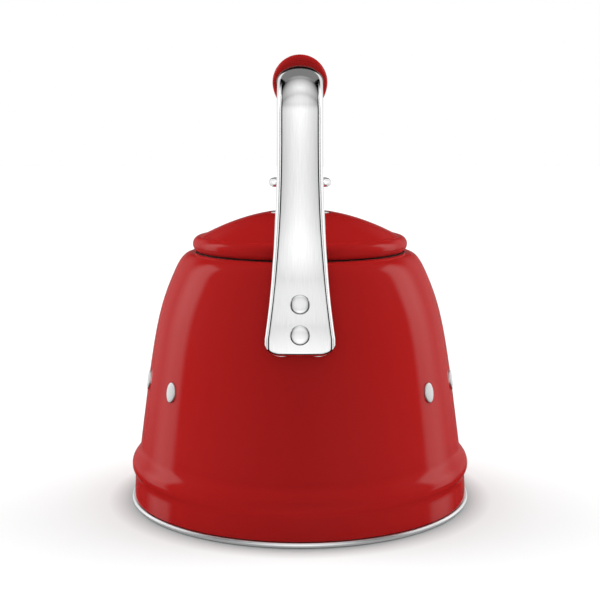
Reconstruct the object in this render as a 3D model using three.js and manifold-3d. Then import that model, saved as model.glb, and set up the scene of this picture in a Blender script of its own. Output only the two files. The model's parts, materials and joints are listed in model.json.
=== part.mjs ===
// Stovetop whistling kettle, in millimetres.
// Origin: centre of the flat underside, on the vertical axis of the body.
// +Z up, +Y towards the spout, -Y towards the foot of the handle arm.

import * as THREE from 'three';
import { mergeVertices } from 'three/addons/utils/BufferGeometryUtils.js';
import Module from 'manifold-3d';

const wasm = await Module();
wasm.setup();

// ---- Driving dimensions ----

const GAP = 0.3;                  // room between two pieces that seat on each other
const ROUND_STEPS = 40;           // facets round the body and the lid
const SMALL_STEPS = 24;           // facets round the small turned pieces
const HOLE_STEPS = 12;            // facets round rivet and screw holes

// Body shell
const SHELL_WALL = 1.2;
const HEM_RADIUS = 98.4;          // lower edge of the shell
const HEM_HEIGHT = 3.6;
const BAND_HEIGHT = 15;           // top of the plain lower band
const BAND_TAPER = 0.8;
const BEAD_HEIGHT = 22;           // fullest point of the bead
const BEAD_RISE = 1.7;            // how far the bead stands out of the band
const WAIST_HEIGHT = 34;          // where the bead runs into the wall
const WAIST_INSET = 5.2;          // step in from the bead to the wall
const BODY_HEIGHT = 145;          // flat seat of the lid
const SHOULDER_DROP = 8.5;        // start of the shoulder below the seat
const SHOULDER_OUTSET = 10;       // start of the shoulder outside the lid's rim

// Mouth and lid
const MOUTH_RADIUS = 54;
const NECK_DEPTH = 10.5;
const NECK_ROUND = 3;
const LID_OVERHANG = 8.3;         // lid rim beyond the mouth
const LID_WALL = 1;
const LID_RIM_HEIGHT = 4;         // fullest point of the rim above its lower edge
const LID_RIM_ROUND = 4.5;
const LID_RIM_TUCK = 1.8;         // lower edge in from the fullest point
const LID_CREASE = 1;
const DOME_RISE = 15.2;
const DISH_RADIUS = 19;           // shallow dish at the top of the dome
const DISH_DEPTH = 1.1;
const SEAL_THICKNESS = 1;
const LINER_THICKNESS = 0.8;
const SKIRT_DEPTH = 11.5;
const SKIRT_CLEARANCE = 1;        // liner skirt inside the neck
const LID_EDGE_CLEARANCE = 0.6;   // liner disc inside the lid's rim

// Knob
const FLANGE_RADIUS = 17;
const FLANGE_THICKNESS = 1.2;
const KNOB_RADIUS = 18;
const KNOB_HEIGHT = 19;
const KNOB_RIM = 5.1;             // height of the rounded rim
const KNOB_NECK = 6.6;            // neck radius
const KNOB_SCREW_RADIUS = 2.4;
const KNOB_SCREW_GRIP = 11.5;     // thread inside the knob

// Bottom
const BASE_OUTSET = 1.6;          // rolled rim beyond the shell's lower edge
const BASE_RIM_GAP = 0.4;         // rolled rim above the table
const PLATE_THICKNESS = 1.1;
const SPREADER_THICKNESS = 2.2;
const PAN_THICKNESS = 1.2;
const RIM_WIDTH = 8.2;

// Spout and whistle
const SPOUT_HEIGHT = 98;          // where the spout's axis leaves the shell
const SPOUT_RISE = 45;            // degrees above the table
const SPOUT_ROOT_RADIUS = 22;
const SPOUT_TIP_RADIUS = 14;
const SPOUT_LENGTH = 40;
const SPOUT_FLARE = 1.35;         // 1 is a plain cone, more flares at the root
const SPOUT_WALL = 1.2;
const SPOUT_HOLE_RADIUS = 17;     // opening in the shell
const SPOUT_BURIED = 28;          // root before it is trimmed to the shell
const COLLAR_LENGTH = 3.2;
const COLLAR_LIP = 1.5;
const SLEEVE_LENGTH = 15;
const SLEEVE_WALL = 0.8;
const SLEEVE_CLEARANCE = 1.5;     // filled by the whistle's seal
const WHISTLE_SEAL_LENGTH = 5;
const DISC_THICKNESS = 0.6;
const DISC_SPACING = 4;
const DISC_HOLE_RADIUS = 2.2;
const WHISTLE_GRIP_LENGTH = 9;
const WHISTLE_GRIP_OUTSET = 1.6;
const WHISTLE_VENT_RADIUS = 6;

// Handle arm
const FOOT_DROP = 44.5;           // lower end of the arm below the seat
const LOW_RIVET_DROP = 34.2;
const HIGH_RIVET_DROP = 18.7;
const FOOT_WIDTH = 37.7;
const FOOT_THICKNESS = 4.5;
const FOOT_CORNER = 8.5;
const ARM_WIDTH = 24;             // width where the arm enters the grip
const ARM_THICKNESS = 13;         // thickness there
const FLARE_LENGTH = 112;         // length over which the foot flares out
const FLARE_POWER = 2.3;
const ARM_TO_LID = 6.7;           // arm's middle line outside the lid's rim
const BEND_RADIUS = 17;           // middle line of the bend into the grip
const TANG_WIDTH = 14;
const TANG_THICKNESS = 7;
const ARM_LIFT = 1;               // arm's middle line above the grip's axis
const RIVET_SHANK = 2.5;
const RIVET_HEAD = 4.7;
const RIVET_HEAD_HEIGHT = 1.9;
const RIVET_TAIL = 4;
const RIVET_TAIL_HEIGHT = 1.4;
const BACKING_THICKNESS = 1.2;
const BACKING_HALF_WIDTH = 11;
const BACKING_MARGIN = 7;         // backing plate beyond the rivets

// Grip
const HAND_GAP = 38;              // knob to grip
const GRIP_WALL = 2.3;            // thinnest wall, beside the arm
const GRIP_BELLY = 0.5;
const GRIP_LENGTH = 108;
const GRIP_END_ROUND = 3;
const GRIP_OVER_BEND = 1.5;       // grip's end before the end of the bend
const BORE_SIDE = 0.3;            // bore beside the arm
const BORE_ABOVE = 1;             // bore above the arm, a dark crescent from behind
const CORE_START = 12;            // core's end face inside the grip
const CORE_END = 6;
const CAP_THICKNESS = 4.8;
const CAP_SPIGOT_LENGTH = 5;
const CAP_SPIGOT_RADIUS = 7.4;
const GRIP_SCREW_RADIUS = 2;
const GRIP_SCREW_HEAD = 4.1;
const GRIP_SCREW_GRIP = 8;        // thread inside the tang
const TANG_END = 14;              // tang's end before the grip's front end

// Badges
const BADGES_PER_SIDE = 4;
const BADGE_PITCH = 25;           // degrees
const BADGE_HEIGHT = 73;          // middle of the row above the table
const BADGE_HALF_WIDTH = 4.1;
const BADGE_HALF_HEIGHT = 5.6;
const BADGE_THICKNESS = 1;

// ---- Finishes ----

function finish(color, roughness, metalness) {
  return () => new THREE.MeshStandardMaterial({ color, roughness, metalness });
}

const redEnamel = finish(0xa5191c, 0.15, 0);
const redGloss = finish(0xa8161a, 0.2, 0);
const polishedSteel = finish(0xd8d8da, 0.12, 1);
const satinSteel = finish(0xb9babd, 0.35, 1);
const aluminium = finish(0xa9abae, 0.45, 1);
const blackRubber = finish(0x111111, 0.7, 0);
const blackPlastic = finish(0x161616, 0.45, 0);

// ---- Helpers ----

const degrees = THREE.MathUtils.degToRad;
const point = (radius, height) => new THREE.Vector2(radius, height);

// Points of a cubic curve, without its first one.
function bend(start, handleA, handleB, end, steps) {
  return new THREE.CubicBezierCurve(start, handleA, handleB, end).getPoints(steps).slice(1);
}

// Line of points moved sideways: positive is to the left of its direction.
function offset(points, distance) {
  return points.map((here, i) => {
    const before = points[Math.max(i - 1, 0)];
    const after = points[Math.min(i + 1, points.length - 1)];
    const inward = here.clone().sub(before).normalize();
    const outward = after.clone().sub(here).normalize();
    const along = inward.clone().add(outward).normalize();
    const reference = inward.lengthSq() > 0 ? inward : outward;
    const stretch = 1 / Math.max(along.dot(reference), 0.5);
    return point(here.x - along.y * distance * stretch, here.y + along.x * distance * stretch);
  });
}

// Solid of revolution about Z; the outline keeps its material on the left.
function turned(outline, steps = ROUND_STEPS) {
  return new THREE.LatheGeometry(outline, steps).rotateX(Math.PI / 2);
}

// Thin pressed wall: one face follows the line, the other lies a wall's thickness inside.
function pressed(line, wall, steps = ROUND_STEPS) {
  const back = offset(line, wall).reverse();
  return turned([...line, ...back, line[0].clone()], steps);
}

function ring(inner, outer, low, high, steps = SMALL_STEPS) {
  const corners = [point(inner, low), point(outer, low), point(outer, high), point(inner, high)];
  return turned([...corners, corners[0].clone()], steps);
}

function disc(radius, low, high, steps = SMALL_STEPS) {
  return turned([point(0, low), point(radius, low), point(radius, high), point(0, high)], steps);
}

function solid(geometry) {
  const bare = geometry.clone();
  bare.deleteAttribute('normal');
  bare.deleteAttribute('uv');
  const merged = mergeVertices(bare, 1e-4);
  return new wasm.Manifold(new wasm.Mesh({
    numProp: 3,
    vertProperties: new Float32Array(merged.attributes.position.array),
    triVerts: new Uint32Array(merged.index.array),
  }));
}

function surface(body) {
  const mesh = body.getMesh();
  const geometry = new THREE.BufferGeometry();
  geometry.setAttribute('position', new THREE.BufferAttribute(mesh.vertProperties, 3));
  geometry.setIndex(new THREE.BufferAttribute(mesh.triVerts, 1));
  geometry.computeVertexNormals();
  return geometry;
}

function cut(geometry, ...tools) {
  return surface(tools.reduce((rest, tool) => rest.subtract(solid(tool)), solid(geometry)));
}

function keepInside(geometry, tool) {
  return surface(solid(geometry).intersect(solid(tool)));
}

function placed(geometry, matrix) {
  return geometry.clone().applyMatrix4(matrix);
}

function add(parent, name, geometry, material) {
  const mesh = new THREE.Mesh(geometry, material());
  mesh.name = name;
  parent.add(mesh);
  return mesh;
}

// Group whose local Z leans from +Z towards +Y (or, with a negative angle, towards -Y).
function leaning(parent, y, z, angle) {
  const frame = new THREE.Group();
  frame.position.set(0, y, z);
  frame.rotation.x = -angle;
  parent.add(frame);
  frame.updateMatrixWorld(true);
  return frame;
}

// ---- Body outline, shared by everything that meets the shell ----

const lidRadius = MOUTH_RADIUS + LID_OVERHANG;
const shoulderRadius = lidRadius + SHOULDER_OUTSET;
const bandRadius = HEM_RADIUS - BAND_TAPER;
const beadRadius = bandRadius + BEAD_RISE;
const waistRadius = beadRadius - WAIST_INSET;

function bodyLine() {
  const bandTop = point(bandRadius, BAND_HEIGHT);
  const bead = point(beadRadius, BEAD_HEIGHT);
  const waist = point(waistRadius, WAIST_HEIGHT);
  const shoulder = point(shoulderRadius, BODY_HEIGHT - SHOULDER_DROP);
  const seat = point(lidRadius - LID_RIM_TUCK, BODY_HEIGHT);
  const beadMiddle = (BAND_HEIGHT + BEAD_HEIGHT) / 2;
  const inwards = shoulder.x - waist.x;
  const upwards = shoulder.y - waist.y;
  const lowHandle = point(waist.x + 0.4 * inwards, waist.y + 0.63 * upwards);
  const highHandle = point(waist.x + 0.49 * inwards, waist.y + 0.77 * upwards);
  const wallEnd = shoulder.clone().sub(highHandle).normalize();
  const reach = (BODY_HEIGHT - shoulder.y) / wallEnd.y;
  return [
    point(HEM_RADIUS, HEM_HEIGHT),
    bandTop,
    ...bend(bandTop, point(bandTop.x, beadMiddle), point(bead.x, beadMiddle), bead, 3),
    ...bend(bead, point(bead.x, BEAD_HEIGHT + 5.5), point(waist.x + 0.4, WAIST_HEIGHT - 5.5), waist, 3),
    ...bend(waist, lowHandle, highHandle, shoulder, 6),
    ...bend(shoulder, shoulder.clone().addScaledVector(wallEnd, reach), point(seat.x + 4, seat.y), seat, 4),
  ];
}

function neckLine() {
  const top = point(MOUTH_RADIUS + NECK_ROUND, BODY_HEIGHT);
  const corner = point(MOUTH_RADIUS, BODY_HEIGHT);
  const side = point(MOUTH_RADIUS, BODY_HEIGHT - NECK_ROUND);
  return [top, ...bend(top, corner, corner, side, 2), point(MOUTH_RADIUS, BODY_HEIGHT - NECK_DEPTH)];
}

const outerLine = bodyLine();

// Radius of the shell's outside at a height, between the outline's own points.
function bodyRadius(height) {
  const above = Math.max(outerLine.findIndex((p) => p.y > height), 1);
  const low = outerLine[above - 1];
  const high = outerLine[above];
  return THREE.MathUtils.mapLinear(height, low.y, high.y, low.x, high.x);
}

// Angle by which the wall leans inwards at a height, measured over the width of one fastening.
function wallLean(height) {
  const span = RIVET_HEAD;
  return Math.atan2(bodyRadius(height - span) - bodyRadius(height + span), 2 * span);
}

// Everything inside the shell's outside, grown by the seating gap: trims what meets the shell.
function bodyMass() {
  const grown = offset(outerLine, -GAP);
  const top = grown[grown.length - 1];
  return turned([point(0, grown[0].y), ...grown, point(0, top.y)]);
}

// ---- Frames on the body ----

const kettle = new THREE.Group();
const spoutFrame = leaning(kettle, bodyRadius(SPOUT_HEIGHT), SPOUT_HEIGHT, degrees(90 - SPOUT_RISE));
const rivetHeights = {
  rivet_lower: BODY_HEIGHT - LOW_RIVET_DROP,
  rivet_upper: BODY_HEIGHT - HIGH_RIVET_DROP,
};
const rivetFrames = Object.entries(rivetHeights).map(([name, height]) => ({
  name,
  frame: leaning(kettle, -bodyRadius(height), height, wallLean(height) - Math.PI / 2),
}));
const rivetHoles = rivetFrames.map(({ frame }) => placed(
  disc(RIVET_SHANK + GAP, -4 * FOOT_THICKNESS, 4 * FOOT_THICKNESS, HOLE_STEPS), frame.matrixWorld));

// ---- Body ----

function bodyShell() {
  const shell = pressed(outerLine, SHELL_WALL);
  const spoutHole = placed(
    disc(SPOUT_HOLE_RADIUS, -SPOUT_BURIED, SPOUT_BURIED), spoutFrame.matrixWorld);
  return cut(shell, spoutHole, ...rivetHoles);
}

// Ring welded inside the shell's upper edge: the rest of the lid's seat, and the neck below it.
function mouthRing() {
  return pressed([point(outerLine[outerLine.length - 1].x - GAP, BODY_HEIGHT), ...neckLine()], SHELL_WALL);
}

const spreaderLow = PLATE_THICKNESS + GAP;
const panLow = spreaderLow + SPREADER_THICKNESS + GAP;
const rimInner = HEM_RADIUS + BASE_OUTSET - RIM_WIDTH;

function basePan() {
  const rim = HEM_RADIUS + BASE_OUTSET;
  const rimTop = HEM_HEIGHT - BASE_RIM_GAP;
  const spigot = HEM_RADIUS - SHELL_WALL - BASE_RIM_GAP;
  const rimLow = point(rim - 1, BASE_RIM_GAP);
  const rimHigh = point(HEM_RADIUS + 0.4, rimTop);
  return turned([
    point(0, panLow),
    point(rimInner, panLow),
    point(rimInner, BASE_RIM_GAP),
    rimLow,
    ...bend(rimLow, point(rim + 0.3, BASE_RIM_GAP), point(rim, rimTop), rimHigh, 4),
    point(spigot, rimTop),
    point(spigot, panLow + PAN_THICKNESS),
    point(0, panLow + PAN_THICKNESS),
  ]);
}

function heatSpreader() {
  return disc(rimInner - GAP, spreaderLow, spreaderLow + SPREADER_THICKNESS, ROUND_STEPS);
}

function basePlate() {
  const edge = rimInner - GAP;
  return turned([
    point(0, 0),
    point(edge - PLATE_THICKNESS, 0),
    point(edge, PLATE_THICKNESS * 0.7),
    point(edge, PLATE_THICKNESS),
    point(0, PLATE_THICKNESS),
  ]);
}

// ---- Spout ----

function spoutRadius(along) {
  const flare = (1 - along / SPOUT_LENGTH) ** SPOUT_FLARE;
  return SPOUT_TIP_RADIUS + (SPOUT_ROOT_RADIUS - SPOUT_TIP_RADIUS) * flare;
}

const spoutMouth = SPOUT_TIP_RADIUS - SPOUT_WALL;

function spoutTube() {
  const stops = [-SPOUT_BURIED, -SPOUT_BURIED / 2, 0, SPOUT_LENGTH / 3, SPOUT_LENGTH * 2 / 3, SPOUT_LENGTH];
  const outside = stops.map((along) => point(spoutRadius(along), along));
  const tube = pressed(outside, SPOUT_WALL, SMALL_STEPS);
  return cut(tube, placed(bodyMass(), spoutFrame.matrixWorld.clone().invert()));
}

function spoutCollar() {
  const low = SPOUT_LENGTH + GAP;
  const high = low + COLLAR_LENGTH;
  const outer = SPOUT_TIP_RADIUS + COLLAR_LIP;
  const side = point(outer - 0.5, low);
  const top = point(spoutMouth + 0.6, high);
  return turned([
    point(spoutMouth, low),
    side,
    ...bend(side, point(outer + 0.6, low), point(outer, high), top, 4),
    point(spoutMouth, high - 0.4),
    point(spoutMouth, low),
  ], SMALL_STEPS);
}

// ---- Whistle, on the spout's axis ----

const collarTop = SPOUT_LENGTH + GAP + COLLAR_LENGTH;
const sleeveOuter = spoutMouth - SLEEVE_CLEARANCE;
const sleeveInner = sleeveOuter - SLEEVE_WALL;
const sleeveTop = collarTop + GAP + SLEEVE_WALL;
const sleeveLow = sleeveTop - SLEEVE_LENGTH;
const discOuter = sleeveInner - GAP;
const innerDiscLow = sleeveLow + SLEEVE_WALL + GAP;
const spacerLow = innerDiscLow + DISC_THICKNESS + GAP;
const outerDiscLow = spacerLow + DISC_SPACING + GAP;

function whistleSleeve() {
  const flange = SPOUT_TIP_RADIUS + COLLAR_LIP - 1;
  const lip = sleeveInner - SLEEVE_WALL;
  return turned([
    point(lip, sleeveLow),
    point(sleeveOuter, sleeveLow),
    point(sleeveOuter, collarTop + GAP),
    point(flange, collarTop + GAP),
    point(flange, sleeveTop),
    point(sleeveInner, sleeveTop),
    point(sleeveInner, sleeveLow + SLEEVE_WALL),
    point(lip, sleeveLow + SLEEVE_WALL),
    point(lip, sleeveLow),
  ], SMALL_STEPS);
}

function whistleSeal() {
  const low = SPOUT_LENGTH - WHISTLE_SEAL_LENGTH - 1;
  const middle = low + WHISTLE_SEAL_LENGTH / 2;
  const inner = sleeveOuter + GAP / 2;
  const outer = spoutMouth - GAP;
  return turned([
    point(inner, low),
    point(outer - 0.5, low),
    point(outer, middle),
    point(outer - 0.5, low + WHISTLE_SEAL_LENGTH),
    point(inner, low + WHISTLE_SEAL_LENGTH),
    point(inner, low),
  ], SMALL_STEPS);
}

function whistleDisc(low) {
  return ring(DISC_HOLE_RADIUS, discOuter, low, low + DISC_THICKNESS);
}

function whistleSpacer() {
  return ring(discOuter - SLEEVE_WALL, discOuter, spacerLow, spacerLow + DISC_SPACING);
}

function whistleGrip() {
  const low = sleeveTop + GAP;
  const high = low + WHISTLE_GRIP_LENGTH;
  const outer = SPOUT_TIP_RADIUS + COLLAR_LIP + WHISTLE_GRIP_OUTSET - 1;
  const waist = point(outer - 1.5, low + WHISTLE_GRIP_LENGTH * 0.3);
  const crown = point(WHISTLE_VENT_RADIUS + 1.5, high);
  return turned([
    point(WHISTLE_VENT_RADIUS, low),
    point(outer, low),
    waist,
    ...bend(waist, point(outer + 1.5, low + 4), point(outer + 0.5, high), crown, 5),
    point(WHISTLE_VENT_RADIUS, high - 1),
    point(WHISTLE_VENT_RADIUS, low),
  ], SMALL_STEPS);
}

// ---- Lid ----

const lidEdge = BODY_HEIGHT + SEAL_THICKNESS + 2 * GAP;
const rimMiddle = lidEdge + LID_RIM_HEIGHT;
const crease = point(lidRadius - LID_RIM_ROUND - LID_CREASE, rimMiddle + LID_RIM_ROUND);
const linerTop = lidEdge + LINER_THICKNESS;

function domeHeight(radius) {
  return crease.y + DOME_RISE * (1 - (radius / crease.x) ** 2);
}

const dishHeight = domeHeight(DISH_RADIUS) - DISH_DEPTH;
const screwHole = KNOB_SCREW_RADIUS + GAP;

function lidShell() {
  const edge = point(lidRadius - LID_RIM_TUCK, lidEdge);
  const full = point(lidRadius, rimMiddle);
  const rimTop = point(lidRadius - LID_RIM_ROUND, crease.y);
  const quarter = 0.55 * LID_RIM_ROUND;
  const dome = [1, 0.78, 0.56].map((share) => crease.x * share);
  return pressed([
    edge,
    ...bend(edge, point(edge.x + 0.9, edge.y + 1), point(full.x, full.y - 2), full, 2),
    ...bend(full, point(full.x, full.y + quarter), point(rimTop.x + quarter, rimTop.y), rimTop, 3),
    ...dome.map((radius) => point(radius, domeHeight(radius))),
    point(DISH_RADIUS, domeHeight(DISH_RADIUS)),
    point(DISH_RADIUS - 1.3, dishHeight),
    point(screwHole, dishHeight),
  ], LID_WALL);
}

function lidLiner() {
  const flange = lidRadius - LID_RIM_TUCK - LID_WALL - LID_EDGE_CLEARANCE;
  const skirt = MOUTH_RADIUS - SKIRT_CLEARANCE;
  const skirtInner = skirt - LINER_THICKNESS;
  return turned([
    point(screwHole, lidEdge),
    point(skirtInner, lidEdge),
    point(skirtInner, lidEdge - SKIRT_DEPTH),
    point(skirt, lidEdge - SKIRT_DEPTH),
    point(skirt, lidEdge),
    point(flange, lidEdge),
    point(flange, linerTop),
    point(screwHole, linerTop),
    point(screwHole, lidEdge),
  ]);
}

function lidSeal() {
  const inner = MOUTH_RADIUS - SKIRT_CLEARANCE + GAP;
  const outer = lidRadius - LID_RIM_TUCK + 0.2;
  return ring(inner, outer, BODY_HEIGHT + GAP, BODY_HEIGHT + GAP + SEAL_THICKNESS, ROUND_STEPS);
}

function lidSpacer() {
  return ring(screwHole, 5.5, linerTop + GAP, dishHeight - LID_WALL - GAP, HOLE_STEPS);
}

const knobLow = dishHeight + FLANGE_THICKNESS + 2 * GAP;
const knobTop = knobLow + KNOB_HEIGHT;

function knobFlange() {
  const low = dishHeight + GAP;
  const high = low + FLANGE_THICKNESS;
  return turned([
    point(screwHole, low),
    point(FLANGE_RADIUS, low),
    point(FLANGE_RADIUS, low + FLANGE_THICKNESS / 2),
    point(FLANGE_RADIUS - 1, high),
    point(screwHole, high),
    point(screwHole, low),
  ], SMALL_STEPS);
}

function lidKnob() {
  const half = KNOB_RIM / 2;
  const rimLow = point(KNOB_RADIUS - half, knobTop - KNOB_RIM);
  const rimSide = point(KNOB_RADIUS, knobTop - half);
  const rimTop = point(KNOB_RADIUS - half, knobTop);
  const neckTop = point(KNOB_NECK, rimLow.y - 4.5);
  const arc = 0.55 * half;
  return turned([
    point(0, knobLow + KNOB_SCREW_GRIP),
    point(screwHole, knobLow + KNOB_SCREW_GRIP),
    point(screwHole, knobLow),
    point(KNOB_NECK + 2, knobLow),
    point(KNOB_NECK, knobLow + 2.5),
    neckTop,
    ...bend(neckTop, point(neckTop.x, neckTop.y + 3.5), point(neckTop.x + 4, rimLow.y), rimLow, 3),
    ...bend(rimLow, point(rimLow.x + arc, rimLow.y), point(rimSide.x, rimSide.y - arc), rimSide, 3),
    ...bend(rimSide, point(rimSide.x, rimSide.y + arc), point(rimTop.x + arc, rimTop.y), rimTop, 3),
    point(0, knobTop - 0.6),
  ], SMALL_STEPS);
}

const washerTop = lidEdge - GAP;
const washerLow = washerTop - 0.7;

function knobScrew() {
  const headTop = washerLow - GAP;
  const tip = knobLow + KNOB_SCREW_GRIP - 1;
  return turned([
    point(0, headTop - 2.2),
    point(3.4, headTop - 1.9),
    point(4.5, headTop - 0.9),
    point(4.5, headTop),
    point(KNOB_SCREW_RADIUS, headTop),
    point(KNOB_SCREW_RADIUS, tip - 0.8),
    point(KNOB_SCREW_RADIUS - 0.8, tip),
    point(0, tip),
  ], HOLE_STEPS);
}

// ---- Handle arm, a bar swept up the back and forward into the grip ----

const boreHalfWidth = ARM_WIDTH / 2 + BORE_SIDE;
const boreHalfHeight = ARM_LIFT + ARM_THICKNESS / 2 + BORE_ABOVE;
const gripRadius = boreHalfWidth + GRIP_WALL;
const gripAxis = knobTop + HAND_GAP + gripRadius;
const armLine = gripAxis + ARM_LIFT;
const armY = -(lidRadius + ARM_TO_LID);
const bendEnd = armY + BEND_RADIUS;
const gripStart = bendEnd - GRIP_OVER_BEND;
const footLow = BODY_HEIGHT - FOOT_DROP;
const bendLow = armLine - BEND_RADIUS;
const tangEnd = gripStart + GRIP_LENGTH - TANG_END;

// How far the shell falls away behind a flat bar of this width.
function hollowBehind(height, halfWidth) {
  const radius = bodyRadius(height);
  return radius - Math.sqrt(radius ** 2 - halfWidth ** 2);
}

function armHalfWidth(height) {
  const flare = Math.max(1 - (height - footLow - FOOT_CORNER) / FLARE_LENGTH, 0);
  const straight = (ARM_WIDTH + (FOOT_WIDTH - ARM_WIDTH) * Math.min(flare, 1) ** FLARE_POWER) / 2;
  const intoCorner = Math.max(FOOT_CORNER - (height - footLow), 0);
  return straight - FOOT_CORNER + Math.sqrt(FOOT_CORNER ** 2 - intoCorner ** 2);
}

// One ring of the arm: middle, half sizes, and how square the section is (2 is an ellipse).
function station(y, z, halfWidth, halfThickness, squareness) {
  return { y, z, halfWidth, halfThickness, squareness };
}

function footStations() {
  const rising = [0, 0.7, 2.5, 5, FOOT_CORNER, LOW_RIVET_DROP - 18, FOOT_DROP - HIGH_RIVET_DROP];
  return rising.map((rise) => {
    const z = footLow + rise;
    const halfWidth = armHalfWidth(z);
    const behind = hollowBehind(z, halfWidth);
    const edge = rise < 0.7 ? 0.7 : 1;
    const face = bodyRadius(z) + GAP + FOOT_THICKNESS;
    const halfThickness = (FOOT_THICKNESS + behind) / 2;
    return station(-(face - halfThickness), z, halfWidth, halfThickness * edge, 6);
  });
}

function risingStations(foot) {
  const lean = wallLean(foot.z);
  const start = point(foot.y, foot.z);
  const handle = point(foot.y + 30 * Math.tan(lean), foot.z + 30);
  const end = point(armY, bendLow);
  const path = bend(start, handle, point(armY, bendLow - 35), end, 9);
  return path.map((p) => {
    const share = THREE.MathUtils.smoothstep(p.y, foot.z, bendLow);
    const halfThickness = THREE.MathUtils.lerp(foot.halfThickness, ARM_THICKNESS / 2, share);
    return station(p.x, p.y, armHalfWidth(p.y), halfThickness, THREE.MathUtils.lerp(6, 2, share));
  });
}

function bendStations() {
  const steps = 7;
  return Array.from({ length: steps }, (_, i) => {
    const angle = (i + 1) / steps * Math.PI / 2;
    const y = bendEnd - BEND_RADIUS * Math.cos(angle);
    const z = bendLow + BEND_RADIUS * Math.sin(angle);
    return station(y, z, ARM_WIDTH / 2, ARM_THICKNESS / 2, 2);
  });
}

function tangStations() {
  const shoulder = gripStart + CORE_START;
  return [
    station(shoulder - 6, armLine, ARM_WIDTH / 2, ARM_THICKNESS / 2, 2),
    station(shoulder - 1, gripAxis, TANG_WIDTH / 2, TANG_THICKNESS / 2, 5),
    station(tangEnd, gripAxis, TANG_WIDTH / 2, TANG_THICKNESS / 2, 5),
  ];
}

// Bar through the stations: a straight bar is extruded, then each of its rings is moved into place.
function sweptBar(stations) {
  const sides = 20;
  const circle = Array.from({ length: sides }, (_, i) => {
    const angle = (i + 0.5) / sides * 2 * Math.PI;
    return point(Math.cos(angle), Math.sin(angle));
  });
  const steps = stations.length - 1;
  const bar = new THREE.ExtrudeGeometry(new THREE.Shape(circle), { depth: 1, steps, bevelEnabled: false });
  const position = bar.attributes.position;
  for (let i = 0; i < position.count; i += 1) {
    const index = Math.round(position.getZ(i) * steps);
    const here = stations[index];
    const before = stations[Math.max(index - 1, 0)];
    const after = stations[Math.min(index + 1, steps)];
    const along = point(after.y - before.y, after.z - before.z).normalize();
    const power = 2 / here.squareness;
    const x = position.getX(i);
    const y = position.getY(i);
    const across = here.halfWidth * Math.sign(x) * Math.abs(x) ** power;
    const out = here.halfThickness * Math.sign(y) * Math.abs(y) ** power;
    position.setXYZ(i, -across, here.y - along.y * out, here.z + along.x * out);
  }
  return bar;
}

// Group along the grip: local Z runs from its back end to its front end.
const gripFrame = leaning(kettle, gripStart, gripAxis, Math.PI / 2);

function handleStrap() {
  const foot = footStations();
  const rising = risingStations(foot[foot.length - 1]);
  const bar = sweptBar([...foot, ...rising, ...bendStations(), ...tangStations()]);
  const front = GRIP_LENGTH - TANG_END;
  const screwBore = disc(GRIP_SCREW_RADIUS + GAP, front - GRIP_SCREW_GRIP - 1, front + 1, HOLE_STEPS);
  return cut(bar, bodyMass(), ...rivetHoles, placed(screwBore, gripFrame.matrixWorld));
}

// Rivet on its own axis: local Z points out of the wall, zero is the shell's outside.
function rivet() {
  const seat = FOOT_THICKNESS + 2 * GAP;
  const back = -(SHELL_WALL + BACKING_THICKNESS + 2.5 * GAP);
  const dome = bend(point(RIVET_HEAD, seat + 0.5), point(RIVET_HEAD, seat + 1.3),
    point(RIVET_HEAD * 0.6, seat + RIVET_HEAD_HEIGHT), point(0, seat + RIVET_HEAD_HEIGHT), 4);
  return turned([
    point(0, back - RIVET_TAIL_HEIGHT),
    point(RIVET_TAIL - 1, back - RIVET_TAIL_HEIGHT),
    point(RIVET_TAIL, back - RIVET_TAIL_HEIGHT / 2),
    point(RIVET_TAIL, back),
    point(RIVET_SHANK, back),
    point(RIVET_SHANK, seat),
    point(RIVET_HEAD, seat),
    point(RIVET_HEAD, seat + 0.5),
    ...dome,
  ], HOLE_STEPS + 4);
}

function backingPlate() {
  const inside = offset(outerLine, SHELL_WALL + GAP);
  const curved = pressed(inside, BACKING_THICKNESS);
  const low = rivetHeights.rivet_lower - BACKING_MARGIN;
  const high = rivetHeights.rivet_upper + BACKING_MARGIN;
  const height = high - low;
  const window = new THREE.BoxGeometry(2 * BACKING_HALF_WIDTH, bodyRadius(low), height);
  window.translate(0, -bodyRadius(low), low + height / 2);
  return cut(keepInside(curved, window), ...rivetHoles);
}

// ---- Grip ----

function ellipse(halfWidth, halfHeight) {
  const shape = new THREE.Shape();
  shape.absellipse(0, 0, halfWidth, halfHeight, 0, 2 * Math.PI);
  return shape;
}

function extruded(shape, low, high) {
  const options = { depth: high - low, bevelEnabled: false, curveSegments: 14 };
  return new THREE.ExtrudeGeometry(shape, options).translate(0, 0, low);
}

function handleGrip() {
  const end = gripRadius - GRIP_END_ROUND;
  const middle = point(gripRadius + GRIP_BELLY, GRIP_LENGTH / 2);
  const back = point(gripRadius, GRIP_END_ROUND);
  const front = point(gripRadius, GRIP_LENGTH - GRIP_END_ROUND);
  const corner = 0.55 * GRIP_END_ROUND;
  const backFace = point(end, 0);
  const frontFace = point(end, GRIP_LENGTH);
  const rod = turned([
    point(0, 0),
    backFace,
    ...bend(backFace, point(end + corner, 0), point(back.x, back.y - corner), back, 3),
    middle,
    front,
    ...bend(front, point(front.x, front.y + corner), point(end + corner, GRIP_LENGTH), frontFace, 3),
    point(0, GRIP_LENGTH),
  ], SMALL_STEPS);
  return cut(rod, extruded(ellipse(boreHalfWidth, boreHalfHeight), -1, GRIP_LENGTH + 1));
}

function gripCore() {
  const shape = ellipse(boreHalfWidth - GAP, boreHalfHeight - GAP);
  const halfWidth = TANG_WIDTH / 2 + GAP;
  const halfHeight = TANG_THICKNESS / 2 + GAP;
  const slot = new THREE.Path([
    point(-halfWidth, -halfHeight),
    point(-halfWidth, halfHeight),
    point(halfWidth, halfHeight),
    point(halfWidth, -halfHeight),
  ]);
  shape.holes.push(slot);
  return extruded(shape, CORE_START, GRIP_LENGTH - CORE_END);
}

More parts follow.
